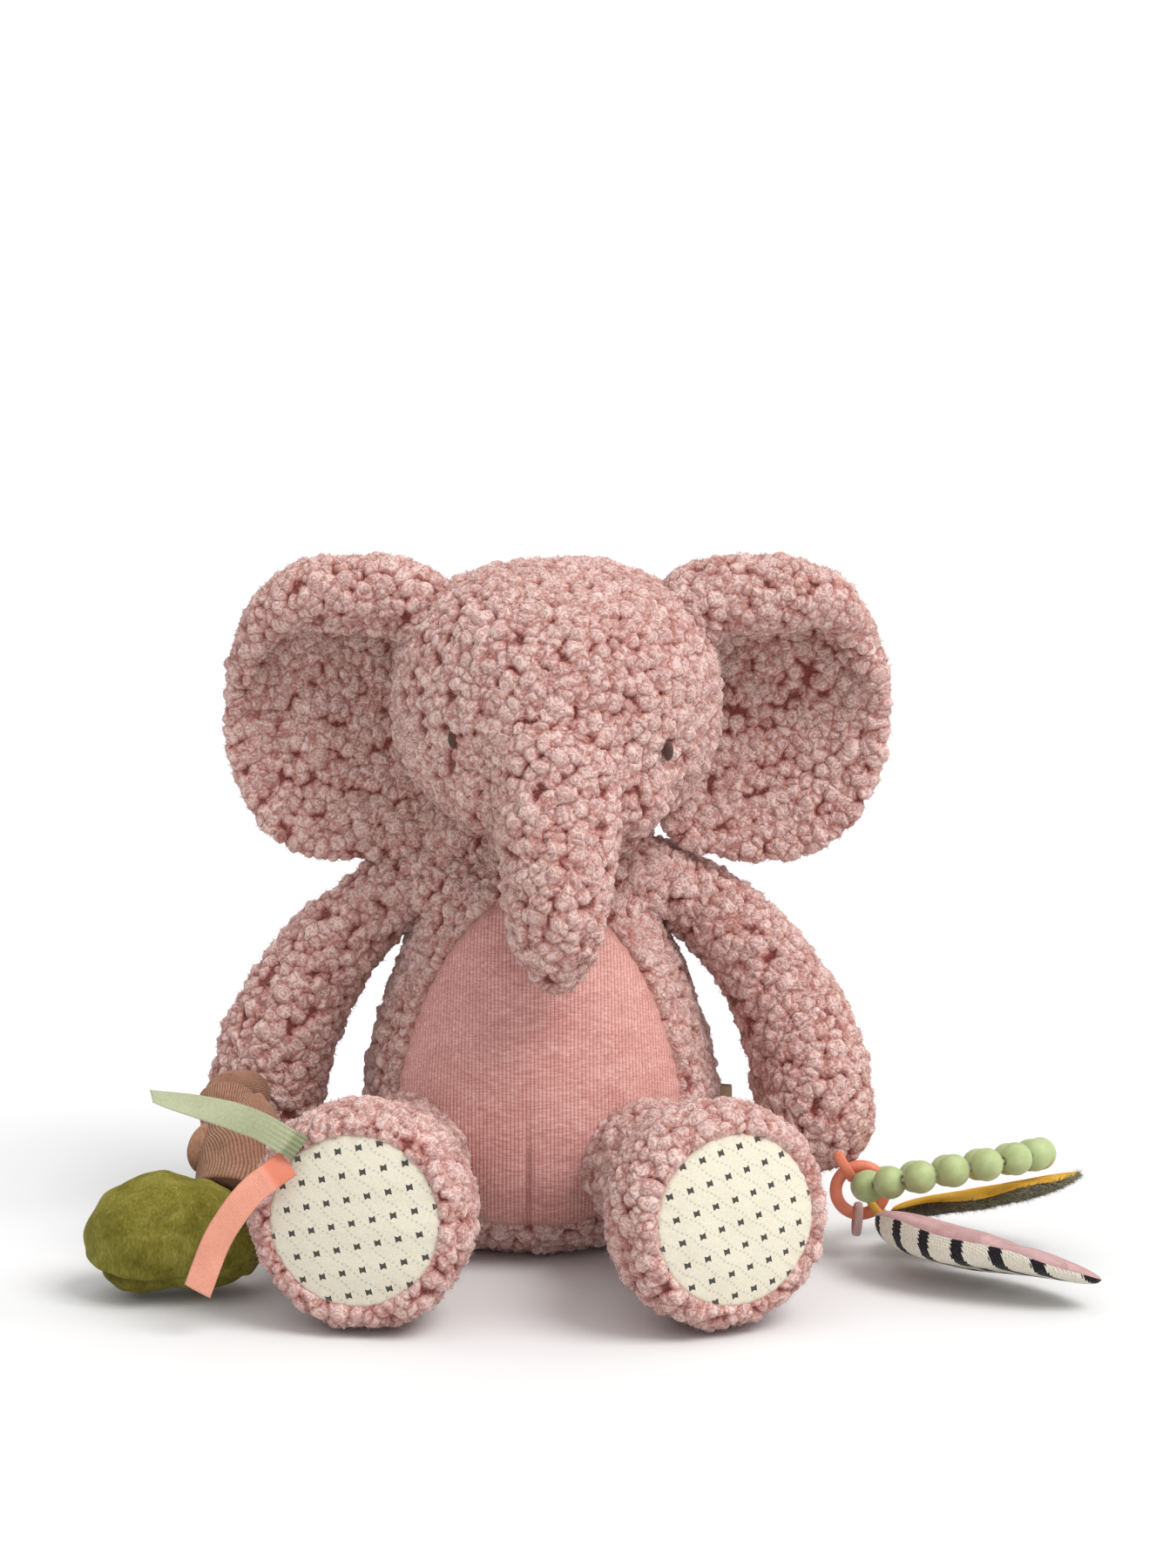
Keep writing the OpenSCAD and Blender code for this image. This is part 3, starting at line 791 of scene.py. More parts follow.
tail = merged("tail_fleece", [tube([([0, 64, 55], 4), ([0, 69, 52], 4.2), ([0, 77, 45], 3.8), ([0, 82, 34], 3.6),
                                    ([0, 84, 23], 4.4)], 20)], 1.6, 2, 1)
fleece_piece(tail, 61, 800, 62, ("tail",), "tail", height=1.6, length=2.0)

# ---- Belly panel: ribbed knit, tucked under the fleece all round ----

RIB = 1.4
DART = -3.6


def torso_radius_at(z):
    low = BASE_R + (TORSO_R - BASE_R) * np.sqrt(np.clip(1 - ((WIDEST_Z - z) / WIDEST_Z) ** 2, 0, 1))
    return np.where(z < WIDEST_Z, low, torso_r(z))


def grid_faces(rows, columns, keep=None, wrap=False):
    """Quads over a grid of points laid out row by row."""
    faces = []
    for i in range(rows - 1):
        for k in range(columns if wrap else columns - 1):
            m = (k + 1) % columns
            face = [i * columns + k, i * columns + m, (i + 1) * columns + m, (i + 1) * columns + k]
            if keep is None or keep[face].any():
                faces.append(face)
    return faces


def without_loose(obj):
    """Drops points that no face uses."""
    used = np.zeros(len(obj.data.vertices), bool)
    used[read(obj.data.loops, "vertex_index", kind=int)] = True
    index = np.cumsum(used) - 1
    points = get_points(obj)[used]
    faces = [[int(index[i]) for i in polygon.vertices] for polygon in obj.data.polygons]
    scene.collection.objects.unlink(obj)
    return make_mesh(obj.name, points, faces), used


across = np.arange(-64, 64.01, RIB / 7)
heights = np.arange(14, 138, 1.5)
arc, z = (v.ravel() for v in np.meshgrid(across, heights))
radius = torso_radius_at(z)
turn = arc / np.maximum(radius, 30)
flat = np.stack([radius * np.sin(turn), 0 * z, z], 1)
edge = belly_distance(flat)
rib = np.abs(np.sin(math.pi * arc / RIB)) ** 0.7
crease = np.exp(-((arc - DART) / 1.3) ** 2) * smoothstep(z, 64, 40)
lobes = 1.6 * np.exp(-((np.abs(arc - DART) - 11) / 9) ** 2) * smoothstep(z, 46, 24)
pucker = 0.35 * np.sin(np.arctan2(z - BELLY_Z, flat[:, 0]) * 46) * smoothstep(edge, -7, -2)
swell = (0.9 + 1.1 * smoothstep(edge, -1, -22) + 0.35 * waves(flat, 16, 3) + lobes - 1.5 * crease + pucker
         - 3.4 * smoothstep(edge, -2.2, 1.2) + 0.3 * rib)
belly_points = np.stack([(radius + swell) * np.sin(turn), -(radius + swell) * np.cos(turn), z], 1)
belly = make_mesh("belly_panel", belly_points, grid_faces(len(heights), len(across), edge < 2.5))
belly, used = without_loose(belly)
belly.name = belly.data.name = "belly_panel_knit"
set_attribute(belly, "rib", rib[used])
set_attribute(belly, "shade", (smoothstep(edge, -4, 0) + crease)[used])


def belly_material():
    m = Material("ribbed_knit", (255, 225, 218), roughness=0.9, sheen_weight=0.2, sheen_roughness=0.5,
                 specular_ior_level=0.2)
    flecks = m.noise(1.0, 4, m.scaled(0.22, 1, 2.2), 0.7)
    heather = m.ramp(flecks, (0.3, (196, 138, 132)), (0.5, (222, 170, 163)), (0.68, (240, 206, 199)))
    broad = m.ramp(m.noise(9, 3, m.scaled(0.5, 1, 1.6)), (0.3, (238, 226, 224)), (0.7, (255, 253, 252)))
    colour = m.tint(1, heather, broad)
    # Painted shade: the ramp darkens the valleys between the ribs
    valley = m.ramp(m.attribute("rib"), (0.1, (205, 185, 183)), (0.75, WHITE))
    colour = m.tint(0.8, colour, valley)
    colour = m.mix(m.times(m.attribute("shade"), 0.35), colour, (150, 92, 86))
    stitches = m.noise(0.5, 3, m.scaled(1, 1, 1.8))
    return m.finish(colour, m.bump(stitches, 0.25, 0.8))


dress(belly, belly_material())
hand_over(belly, ("belly_panel",), "torso")

# ---- Eyes: raised satin stitches ----

def eye_mesh(name, side):
    """An oval cushion of slanting stitches on the head."""
    bearing = EYE_BEARING[side] * side
    out = np.array([sind(bearing), -cosd(bearing), 0.06])
    along = np.array([cosd(bearing), sind(bearing), 0])
    middle = np.array([HEAD[0], HEAD[1], EYE_HEIGHT[side]]) + (HEAD_R - 1.2) * out
    rings = []
    theta = full_turn(72)
    for q in (1.0, 0.98, 0.93, 0.86, 0.77, 0.66, 0.54, 0.4, 0.26, 0.12, 0.01):
        a, b = 1.9 * q * np.cos(theta), 3.6 * q * np.sin(theta)
        rise = 2.3 * math.sqrt(max(1 - q * q, 0)) + 0.14 * np.sin(2 * math.pi * (b + 0.3 * a) / 0.55) * (1 - q ** 6)
        rings.append(middle + a[:, None] * along + b[:, None] * UP + rise[:, None] * out)
    return make_mesh(name, *loft(rings))


def thread_material():
    m = Material("eye_thread", roughness=0.55, sheen_weight=0.25, specular_ior_level=0.4)
    strands = m.noise(0.5, 3, m.scaled(0.3, 0.3, 1.6))
    colour = m.ramp(strands, (0.3, (52, 27, 20)), (0.6, (88, 52, 38)), (0.85, (140, 98, 74)))
    return m.finish(colour, m.bump(strands, 0.2, 0.6))


THREAD = thread_material()
for _, side, label in SIDES:
    eye = eye_mesh(f"eye_{label}_stitches", side)
    dress(eye, THREAD)
    hand_over(eye, (f"eye_{label}",), "head")

# ---- Soles: cream jersey discs with woven marks, sewn into the fleece ----

def sole_material():
    m = Material("dotted_jersey", roughness=0.85, sheen_weight=0.12, specular_ior_level=0.25)
    u, v = m.flat()
    columns, rows = 7.3, 8.2
    # A mark stands in the middle of each cell: two feet joined at a narrow waist
    wide, high = (m.math("ABSOLUTE", m.times(m.minus(m.share(m.add(m.math("DIVIDE", place, step), 40.5)), 0.5), step))
                  for place, step in ((u, columns), (v, rows)))
    waist = m.add(m.times(wide, 0.5), 0.68)
    mark = m.times(m.math("LESS_THAN", high, waist), m.math("LESS_THAN", wide, 1.08))
    # Broken grey lines run diagonally between the marks
    diagonal = math.hypot(columns, rows)
    gap = columns * rows / diagonal
    across = m.add(m.times(u, rows / diagonal / gap), m.times(v, columns / diagonal / gap))
    down = m.minus(m.times(u, columns / diagonal), m.times(v, rows / diagonal))
    bend = m.times(m.wave(down, diagonal), 0.07)
    line = m.math("ABSOLUTE", m.minus(m.share(m.add(m.add(across, bend), 40)), 0.5))
    dash = m.math("GREATER_THAN", m.wave(down, 1.7), -0.1)
    thread = m.times(m.math("LESS_THAN", line, 0.075), dash)
    cloth = m.ramp(m.noise(0.6, 3), (0.25, (212, 204, 182)), (0.75, (231, 225, 207)))
    colour = m.mix(m.times(thread, 0.5), cloth, (168, 170, 162))
    colour = m.mix(m.times(mark, 0.93), colour, (38, 34, 38))
    colour = m.mix(m.times(m.attribute("shade"), 0.4), colour, (176, 150, 134))
    knit = m.times(m.wave(u, 0.7), m.wave(v, 0.55))
    height = m.add(m.times(knit, 0.35), m.times(mark, 0.8))
    return m.finish(colour, m.bump(height, 0.12, 0.9))


JERSEY = sole_material()
SLANT = math.radians(13)
for index, _, label in SIDES:
    turn_matrix, centre = foot_frame(index)
    sides = 120
    theta = full_turn(sides)
    rings, uvs, shades = [], [], []
    for q in np.concatenate([[0.001], np.linspace(0.04, 0.9, 20), np.linspace(0.92, 1.06, 10)]):
        r = (SOLE_R - 0.4) * q
        x, y = r * np.cos(theta), r * np.sin(theta)
        local = np.stack([x, y, 0 * x], 1)
        rise = (14.6 + 3.6 * (1 - min(q, 1) ** 2.4) + 0.25 * waves(local, 9, 71 + index)
                + 0.22 * np.sin(34 * theta) * smoothstep(q, 0.72, 0.97) - 2.6 * smoothstep(q, 0.955, 1.06))
        rings.append(np.stack([x, y, rise], 1))
        uvs.append(np.stack([x * math.cos(SLANT) + y * math.sin(SLANT), -x * math.sin(SLANT) + y * math.cos(SLANT)], 1))
        shades.append(np.full(sides, smoothstep(q, 0.93, 1.0)))
    points = np.concatenate(rings) @ turn_matrix.T + centre
    sole = make_mesh(f"sole_{label}_jersey", points, grid_faces(len(rings), sides, wrap=True))
    set_uv(sole, np.concatenate(uvs))
    set_attribute(sole, "shade", np.concatenate(shades))
    dress(sole, JERSEY)
    hand_over(sole, (f"leg_{label}_sole",), f"leg_{label}")

# ---- Ribbons and label: thin sheets ----

def smooth_path(points, count):
    """Evenly spaced points on a Catmull-Rom curve through the given ones."""
    points = np.asarray(points, float)
    ends = np.concatenate([[2 * points[0] - points[1]], points, [2 * points[-1] - points[-2]]])
    fine = []
    for i in range(len(points) - 1):
        a, b, c, d = ends[i:i + 4]
        for t in np.linspace(0, 1, 24, endpoint=False):
            fine.append(0.5 * (2 * b + (c - a) * t + (2 * a - 5 * b + 4 * c - d) * t * t
                               + (3 * b - a - 3 * c + d) * t ** 3))
    fine = np.array(fine + [points[-1]])
    steps = np.concatenate([[0], np.cumsum(np.linalg.norm(np.diff(fine[:, :3], axis=0), axis=1))])
    at = np.linspace(0, steps[-1], count)
    return np.stack([np.interp(at, steps, fine[:, k]) for k in range(points.shape[1])], 1), steps[-1]


STRIP_ROWS = 70


def strip_mesh(name, stations, width, thick, relief=None, cut=0.0, columns=15):
    """A closed thin strip along [point, across] stations; relief(t, s) lifts it and cut slants its far end."""
    path, length = smooth_path([list(p) + list(unit(a) * 20) for p, a in stations], STRIP_ROWS)
    centre, across = path[:, :3], path[:, 3:]
    t = np.linspace(0, 1, len(path))
    s = np.linspace(-1, 1, columns)
    points = []
    for i in range(len(path)):
        way = heading(centre, i)
        side = unit(across[i] - way * (across[i] @ way))
        out = np.cross(way, side)
        lift = np.zeros(columns) if relief is None else relief(t[i], s)
        slant = cut * s * t[i] ** 8
        rounded = np.sqrt(np.clip(1 - np.abs(s) ** 14, 0, 1))
        middle = centre[i] + side * (s * width / 2)[:, None] + way * slant[:, None] + out * lift[:, None]
        points.append(np.concatenate([middle + out * (thick / 2 * rounded)[:, None],
                                      (middle - out * (thick / 2 * rounded)[:, None])[::-1]]))
    return make_mesh(name, *loft(points)), length


def ribbon_material(name, dark, base, light, rib_pitch):
    m = Material(name, roughness=0.55, sheen_weight=0.15, specular_ior_level=0.35)
    cloth = m.ramp(m.noise(0.7, 3), (0.25, base), (0.75, light))
    broad = m.ramp(m.noise(14, 2), (0.35, (240, 236, 232)), (0.65, WHITE))
    colour = m.tint(0.8, cloth, broad)
    # Painted shade: the strip is painted darker towards its root, where it comes out from under the fleece
    colour = m.mix(m.attribute("root"), colour, dark)
    weave = m.wave(m.attribute("along"), rib_pitch)
    return m.finish(colour, m.bump(weave, 0.08, 0.7))


SAGE = [([-79.5, -139.5, 66.5], [0.74, 0.1, 0.66]), ([-85, -141.5, 70.5], [0.66, 0.05, 0.75]),
        ([-92, -141, 74.5], [0.58, 0.05, 0.8]), ([-98.5, -140, 77], [0.48, 0.25, 0.84]),
        ([-105, -138, 78.8], [0.4, 0.5, 0.76]), ([-118, -133, 81], [0.28, 0.8, 0.5]),
        ([-131, -127, 82.3], [0.2, 0.97, 0.1])]
CORAL = [([-83.5, -138.5, 61.5], [0.6, -0.1, -0.8]), ([-89, -141.5, 58], [0.62, 0, -0.78]),
         ([-95, -143, 53.5], [0.76, 0, -0.65]), ([-101, -143.5, 46.5], [0.9, 0, -0.42]),
         ([-108, -142.5, 35], [0.96, 0.02, -0.28]), ([-115, -140.5, 17], [0.98, 0, -0.2])]
# The label is folded double: out from the side seam, round, and back in
LABEL = [([x, y, 45], [0, 0, 1]) for x, y in ((64, 8.2), (69, 8.0), (72.2, 8.6), (72.6, 9.4), (72.2, 10.2),
                                              (69, 10.8), (64, 10.6))]


def sage_relief(t, s):
    return 0.28 * np.cos(math.pi * 5.5 * s) * math.exp(-7 * t) + 0.5 * s * s


def coral_relief(t, s):
    return 0.5 * math.exp(-((t - 0.16) / 0.03) ** 2) - 0.3 * s * s


for name, stations, width, thick, shape, look, root_shade_share, body, node, slot, flat_width, held, under in (
        ("sage_ribbon_tape", SAGE, 9.6, 0.45, (sage_relief, 3.6, 41),
         ("sage_grosgrain", (126, 134, 98), (160, 167, 130), (182, 188, 154), 0.75), 0.1,
         "sage_ribbon", "sage_ribbon", "sage_satin", 0.01, "hung", "leg_left_fleece"),
        ("coral_ribbon_tape", CORAL, 9.8, 0.45, (coral_relief, 0.8, 25),
         ("coral_grosgrain", (206, 112, 84), (230, 150, 126), (238, 170, 148), 0.75), 0.17,
         "coral_ribbon", "coral_ribbon", "coral_satin", 0.01, "hung", "leg_left_fleece"),
        ("side_label_tape", LABEL, 14, 0.4, (),
         ("label_tape", (160, 138, 110), (184, 160, 130), (204, 184, 156), 0.6), 0.02,
         "torso", "side_label", "side_label", 0.014, "folded", "torso_fleece")):
    tape, length = strip_mesh(name, stations, width, thick, *shape)
    t = np.repeat(np.linspace(0, 1, STRIP_ROWS), len(tape.data.vertices) // STRIP_ROWS)
    set_attribute(tape, "along", t * length)
    # root is the painted shade near the strip's start, fading out over its first share
    set_attribute(tape, "root", 0.8 * (1 - smoothstep(t, root_shade_share * 0.7, root_shade_share)))
    dress(tape, ribbon_material(*look))
    hand_over(tape, (node,), body)

# ---- Soft tree: ribbed knit stem and velour crown ----

STEM = [[-108, -38, 60, 8.5], [-113, -49, 61, 10], [-111, -51, 56, 12.6], [-107, -57, 47, 15],
        [-107, -64, 38, 15.6], [-109, -72, 30, 15]]
STEM_RIBS = 68
stem_path = smooth_path(STEM, 34)[0]
stem_rings = []
dimple = np.array([-114, -71, 47])
top_way = unit(stem_path[0, :3] - stem_path[1, :3])
rows = [(stem_path[0, :3] + top_way * 9 * math.sin(w), stem_path[0, 3] * math.cos(w))
        for w in (1.52, 1.35, 1.15, 0.95, 0.75, 0.55, 0.35, 0.18)] + [(row[:3], row[3]) for row in stem_path]
sides = STEM_RIBS * 6
theta = full_turn(sides)
for i, (centre, r) in enumerate(rows):
    way = heading([c for c, _ in rows], i)
    a = unit(np.cross(way, [0, 1, 0.01]))
    b = np.cross(way, a)
    ring = circle(theta, a, b)
    base = centre + ring * r
    rib = np.abs(np.sin(STEM_RIBS * theta / 2))
    swell = (0.34 * rib * min(1, r / 8) + 0.5 * waves(base, 11, 81)
             - 2.6 * np.exp(-(np.linalg.norm(base - dimple, axis=1) / 4.2) ** 2))
    stem_rings.append(base + ring * swell[:, None])
stem = make_mesh("tree_stem_knit", *loft(stem_rings))
set_attribute(stem, "rib", np.resize(np.tile(rib, len(stem_rings)), len(stem.data.vertices)))
flap_rings = []
for t in np.linspace(0, 1, 16):
    w = full_turn(28)
    size = math.sin(math.pi * min(0.98, max(0.02, t))) ** 0.35
    middle = np.array([-120.5 - 2.2 * math.sin(2.2 * t), -62 - 3 * t, 55 - 16 * t])
    flap_rings.append(middle + np.stack([4.2 * size * np.cos(w), 2.2 * size * np.sin(w), 0.6 * np.cos(w)], 1))
flap = make_mesh("tree_stem_flap", *loft(flap_rings))
set_attribute(flap, "rib", np.full(len(flap.data.vertices), 0.8))


def rib_knit_material():
    m = Material("brown_rib_knit", roughness=0.9, sheen_weight=0.2, specular_ior_level=0.2)
    cloth = m.ramp(m.noise(0.9, 4, m.scaled(1, 1, 0.5), 0.65), (0.25, (142, 100, 80)), (0.75, (184, 144, 118)))
    broad = m.ramp(m.noise(12, 2), (0.3, (225, 212, 208)), (0.7, WHITE))
    # Painted shade: the ramp darkens the valleys between the ribs
    valley = m.ramp(m.attribute("rib"), (0.1, (176, 162, 158)), (0.7, WHITE))
    cloth = m.tint(0.85, cloth, valley)
    return m.finish(m.tint(0.8, cloth, broad), m.bump(m.noise(0.45, 3), 0.25, 0.8))


KNIT = rib_knit_material()
for piece, nodes, fill in ((stem, ("tree_stem", "tree_stem_filling"), 0.6), (flap, (), None)):
    dress(piece, KNIT)
    hand_over(piece, nodes, "tree")


def inflated(obj, pressure, cap, held):
    """Swells a closed skin by cloth simulation, with the held points still and no point moved over cap."""
    before = get_points(obj)
    group = obj.vertex_groups.new(name="seam")
    group.add([int(i) for i in np.nonzero(held)[0]], 1.0, "REPLACE")
    cloth = obj.modifiers.new("cloth", "CLOTH")
    cloth.settings.use_pressure = True
    cloth.settings.uniform_pressure_force = pressure
    cloth.settings.effector_weights.gravity = 0
    cloth.settings.vertex_group_mass = "seam"
    cloth.settings.quality = 6
    cloth.point_cache.frame_start, cloth.point_cache.frame_end = 1, 20
    for number in range(1, 21):
        scene.frame_set(number)
    graph = bpy.context.evaluated_depsgraph_get()
    swollen = bpy.data.meshes.new_from_object(obj.evaluated_get(graph))
    shift = read(swollen.vertices, "co", 3) / MM - before
    size = np.linalg.norm(shift, axis=1, keepdims=True)
    obj.modifiers.clear()
    obj.vertex_groups.clear()
    bpy.data.meshes.remove(swollen)
    set_points(obj, before + shift * np.minimum(1, cap / np.maximum(size, 1e-6)))
    scene.frame_set(1)


# The crown's seam, and the lowest it reaches above the floor before and after it is swollen
SEAM_Z = 9.5
SKIN_FLOOR, CROWN_FLOOR = 1.2, 0.3
crown_balls = [ball((-140, -90, 21.5), 20.5), ball((-134, -88, 26), 19), ball((-121, -89, 21.5), 20.5),
               ball((-111, -89, 19), 15), ball((-106.5, -91, 13), 8)]
crown = merged("tree_crown_velour", crown_balls, 3.4, 5, 0)
set_points(crown, kept_above(get_points(crown), SKIN_FLOOR))
inflated(crown, 4, 2.4, np.abs(get_points(crown)[:, 2] - SEAM_Z) < 1.8)
apply_modifier(crown, "SUBSURF", levels=2)
points, normals = get_points(crown), get_normals(crown)
seam_line = SEAM_Z - 0.06 * (points[:, 0] + 135) + 1.1 * np.sin(points[:, 0] / 7.0)
fold = smoothstep(points[:, 0], -128, -140)
groove = (1.1 + 2.1 * fold) * np.exp(-((points[:, 2] - seam_line) / (1.1 + 0.5 * fold)) ** 2)
lip = 1.2 * fold * np.exp(-((points[:, 2] - seam_line - 3.4) / 2.2) ** 2)
points += normals * (0.7 * waves(points, 13, 91) + 0.25 * waves(points, 5, 92) - groove + lip)[:, None]
set_points(crown, kept_above(points, CROWN_FLOOR))
set_attribute(crown, "shade", np.clip(groove / 3, 0, 1))


def velour_material(name, dark, middle, light, nap=0.8, patch=11):
    m = Material(name, light, roughness=0.85, sheen_weight=0.45, sheen_roughness=0.35, specular_ior_level=0.15)
    strokes = m.noise(nap, 4, m.scaled(1, 1, 0.35), 0.7, 0.6)
    patches = m.noise(patch, 3, distortion=0.8)
    tone = m.add(m.times(strokes, 0.62), m.times(patches, 0.62))
    colour = m.ramp(tone, (0.38, dark), (0.6, middle), (0.86, light))
    colour = m.mix(m.times(m.attribute("shade"), 0.6), colour, dark)
    return m.finish(colour, m.bump(strokes, 0.5, 0.6))


dress(crown, velour_material("olive_velour", (74, 66, 16), (112, 106, 38), (152, 146, 74)))
hand_over(crown, ("tree_crown_upper", "tree_crown_lower", "tree_crown_filling"), "tree")

# ---- Ring, tabs, cord and beads ----

RING = np.array([118.0, -42.0, 25.0])
RING_R, BAND = 9.0, 2.3


def ring_faces(steps, sides):
    """Quads round a closed ring of sections."""
    faces = []
    for i in range(steps):
        near, far = i * sides, (i + 1) % steps * sides
        faces += [[near + k, far + k, far + (k + 1) % sides, near + (k + 1) % sides] for k in range(sides)]
    return faces


def torus(centre, major, wide, high, matrix, steps=96, sides=28):
    """A ring round the local Z axis, with an oval section."""
    section = full_turn(sides)
    reach = major + wide * np.cos(section)
    points = []
    for i in range(steps):
        w = 2 * math.pi * i / steps
        points.append(np.stack([reach * math.cos(w), reach * math.sin(w), high * np.sin(section)], 1))
    return np.concatenate(points) @ matrix.T + centre, ring_faces(steps, sides)


def on_ring(w, out=0):
    """The point at w degrees round the ring, and further out by some millimetres."""
    way = np.array([cosd(w), 0, sind(w)])
    return RING + RING_R * way + out * way


def silicone_material(name, dark, base, light):
    m = Material(name, roughness=0.48, sheen_weight=0.12, specular_ior_level=0.4, subsurface_weight=0.08,
                 subsurface_scale=0.002)
    colour = m.ramp(m.noise(4, 2), (0.3, base), (0.7, light))
    dust = m.noise(0.35, 2)
    colour = m.mix(m.times(m.ramp(dust, (0.45, 0.0), (0.8, 1.0)), 0.2), colour, dark)
    rough = m.ramp(m.noise(2, 3), (0.3, 0.44), (0.7, 0.58))
    return m.finish(colour, m.bump(dust, 0.03, 0.5), rough)


ring = make_mesh("coral_ring_moulded", *torus(RING, RING_R, BAND, BAND, turned(x=90)))
dress(ring, silicone_material("coral_silicone", (170, 84, 60), (214, 118, 90), (226, 136, 108)))
hand_over(ring, ("coral_ring",), "ring")


def tape_material(name, base, light):
    m = Material(name, roughness=0.8, sheen_weight=0.2, specular_ior_level=0.25)
    weave = m.noise(0.5, 3)
    return m.finish(m.ramp(weave, (0.3, base), (0.7, light)), m.bump(weave, 0.15, 0.8))


TAPE = 0.75
HAND_TAB_AT = 121


def hand_loop():
    away = on_ring(HAND_TAB_AT) + np.array([-1.2, 1.6, 1.9])
    return torus(away, 6.5, TAPE, 1.9, turned(y=-HAND_TAB_AT), 64, 16)


def leaf_loop(w):
    return torus(on_ring(w, 2), 5.6, TAPE, 1.5, turned(y=-w), 64, 16)


for name, part, body, node, slot, base, light in (
        ("hand_tab_tape", hand_loop(), "arm_right", "hand_tab", "coral_tape",
         (208, 112, 84), (226, 140, 112)),
        ("olive_leaf_tab_tape", leaf_loop(-48), "olive_leaf", "olive_leaf_tab", "mustard_velour",
         (196, 146, 44), (222, 178, 82)),
        ("striped_leaf_tab_tape", leaf_loop(-95), "striped_leaf", "striped_leaf_tab", "mauve_velour",
         (184, 150, 148), (206, 174, 171))):
    tab = make_mesh(name, *part)
    dress(tab, tape_material(name, base, light))
    hand_over(tab, (node,), body)

LOOP_R, LOOP_STRAIGHT, BEADS, BEAD_D, BEAD_GAP = 26.0, 15.0, 15, 12.0, 0.12
BEAD_TURN = turned(x=-15.5, y=-11)
LOOP_PLACE = RING + UP


def loop_point(s):
    """A point on the bead loop, s millimetres from the ring, in the loop's own plane."""
    quarter = math.pi * LOOP_R / 2
    if s < quarter:
        centre, w = LOOP_R, s / LOOP_R
    elif s < quarter + LOOP_STRAIGHT:
        return np.array([LOOP_R + s - quarter, -LOOP_R, 0])
    elif s < 3 * quarter + LOOP_STRAIGHT:
        centre, w = LOOP_R + LOOP_STRAIGHT, (s - LOOP_STRAIGHT) / LOOP_R
    elif s < 3 * quarter + 2 * LOOP_STRAIGHT:
        return np.array([LOOP_R + LOOP_STRAIGHT - (s - 3 * quarter - LOOP_STRAIGHT), LOOP_R, 0])
    else:
        centre, w = LOOP_R, (s - 2 * LOOP_STRAIGHT) / LOOP_R
    return np.array([centre - LOOP_R * math.cos(w), -LOOP_R * math.sin(w), 0])


def bead_part(s):
    way = unit(loop_point(s + 0.5) - loop_point(s - 0.5))
    matrix = np.stack([np.cross(UP, way), UP, way], 1)
    bore, r, chamfer = 1.1, BEAD_D / 2, 0.35
    low = math.acos(bore / r) - 0.06
    mouth = r * math.sin(low) - chamfer
    profile = [(bore - 0.1, -2.0), (bore, -mouth)]
    profile += [(r * math.cos(w), r * math.sin(w)) for w in np.linspace(-low, low, 27)]
    profile += [(bore, mouth), (bore - 0.1, 2.0)]
    return moved(lathe(profile, 48), BEAD_TURN @ matrix, BEAD_TURN @ loop_point(s) + LOOP_PLACE)


loop_length = 2 * LOOP_STRAIGHT + 2 * math.pi * LOOP_R
pitch = BEAD_D + BEAD_GAP
first_bead = (loop_length - (BEADS - 1) * pitch) / 2
beads = joined("pistachio_beads", [bead_part(first_bead + i * pitch) for i in range(BEADS)])
dress(beads, silicone_material("pistachio_silicone", (126, 130, 80), (160, 174, 118), (176, 190, 136)))
hand_over(beads, ("beads",), "bead_loop")

CORD_R, CORD_STEPS, CORD_SIDES = 0.9, 300, 14
braid = Material("braided_cord", roughness=0.8, specular_ior_level=0.25)
twist = braid.noise(0.45, 3, braid.scaled(1, 1, 1.5))
strand_points = []
section = full_turn(CORD_SIDES)
for i in range(CORD_STEPS):
    before, at, after = (loop_point(loop_length * ((i + k) / CORD_STEPS % 1)) for k in (-0.5, 0, 0.5))
    side = np.cross(UP, unit(after - before))
    braid_r = CORD_R * (1 + 0.06 * np.sin(4 * section + i * 0.9))
    strand_points.append(at + braid_r[:, None] * circle(section, side, UP))
cord = make_mesh("bead_cord_braid", np.concatenate(strand_points) @ BEAD_TURN.T + LOOP_PLACE,
                 ring_faces(CORD_STEPS, CORD_SIDES))
dress(cord, braid.finish(braid.ramp(twist, (0.3, (196, 190, 166)), (0.7, (226, 222, 202))),
                         braid.bump(twist, 0.2, 0.8)))
hand_over(cord, ("bead_cord",), "bead_loop")

# ---- Leaves: pillows with a different fabric on each side ----

def leaf_half_width(x, length, width):
    share = np.clip(x / length, 0, 1) ** 0.82
    return width / 2 * np.clip(4 * share * (1 - share), 0, 1) ** 0.62


def thickness(x, most, loss, start, end):
    """Half a pillow's thickness at x, which falls by loss from start to end."""
    return most - loss * smoothstep(x, start, end)


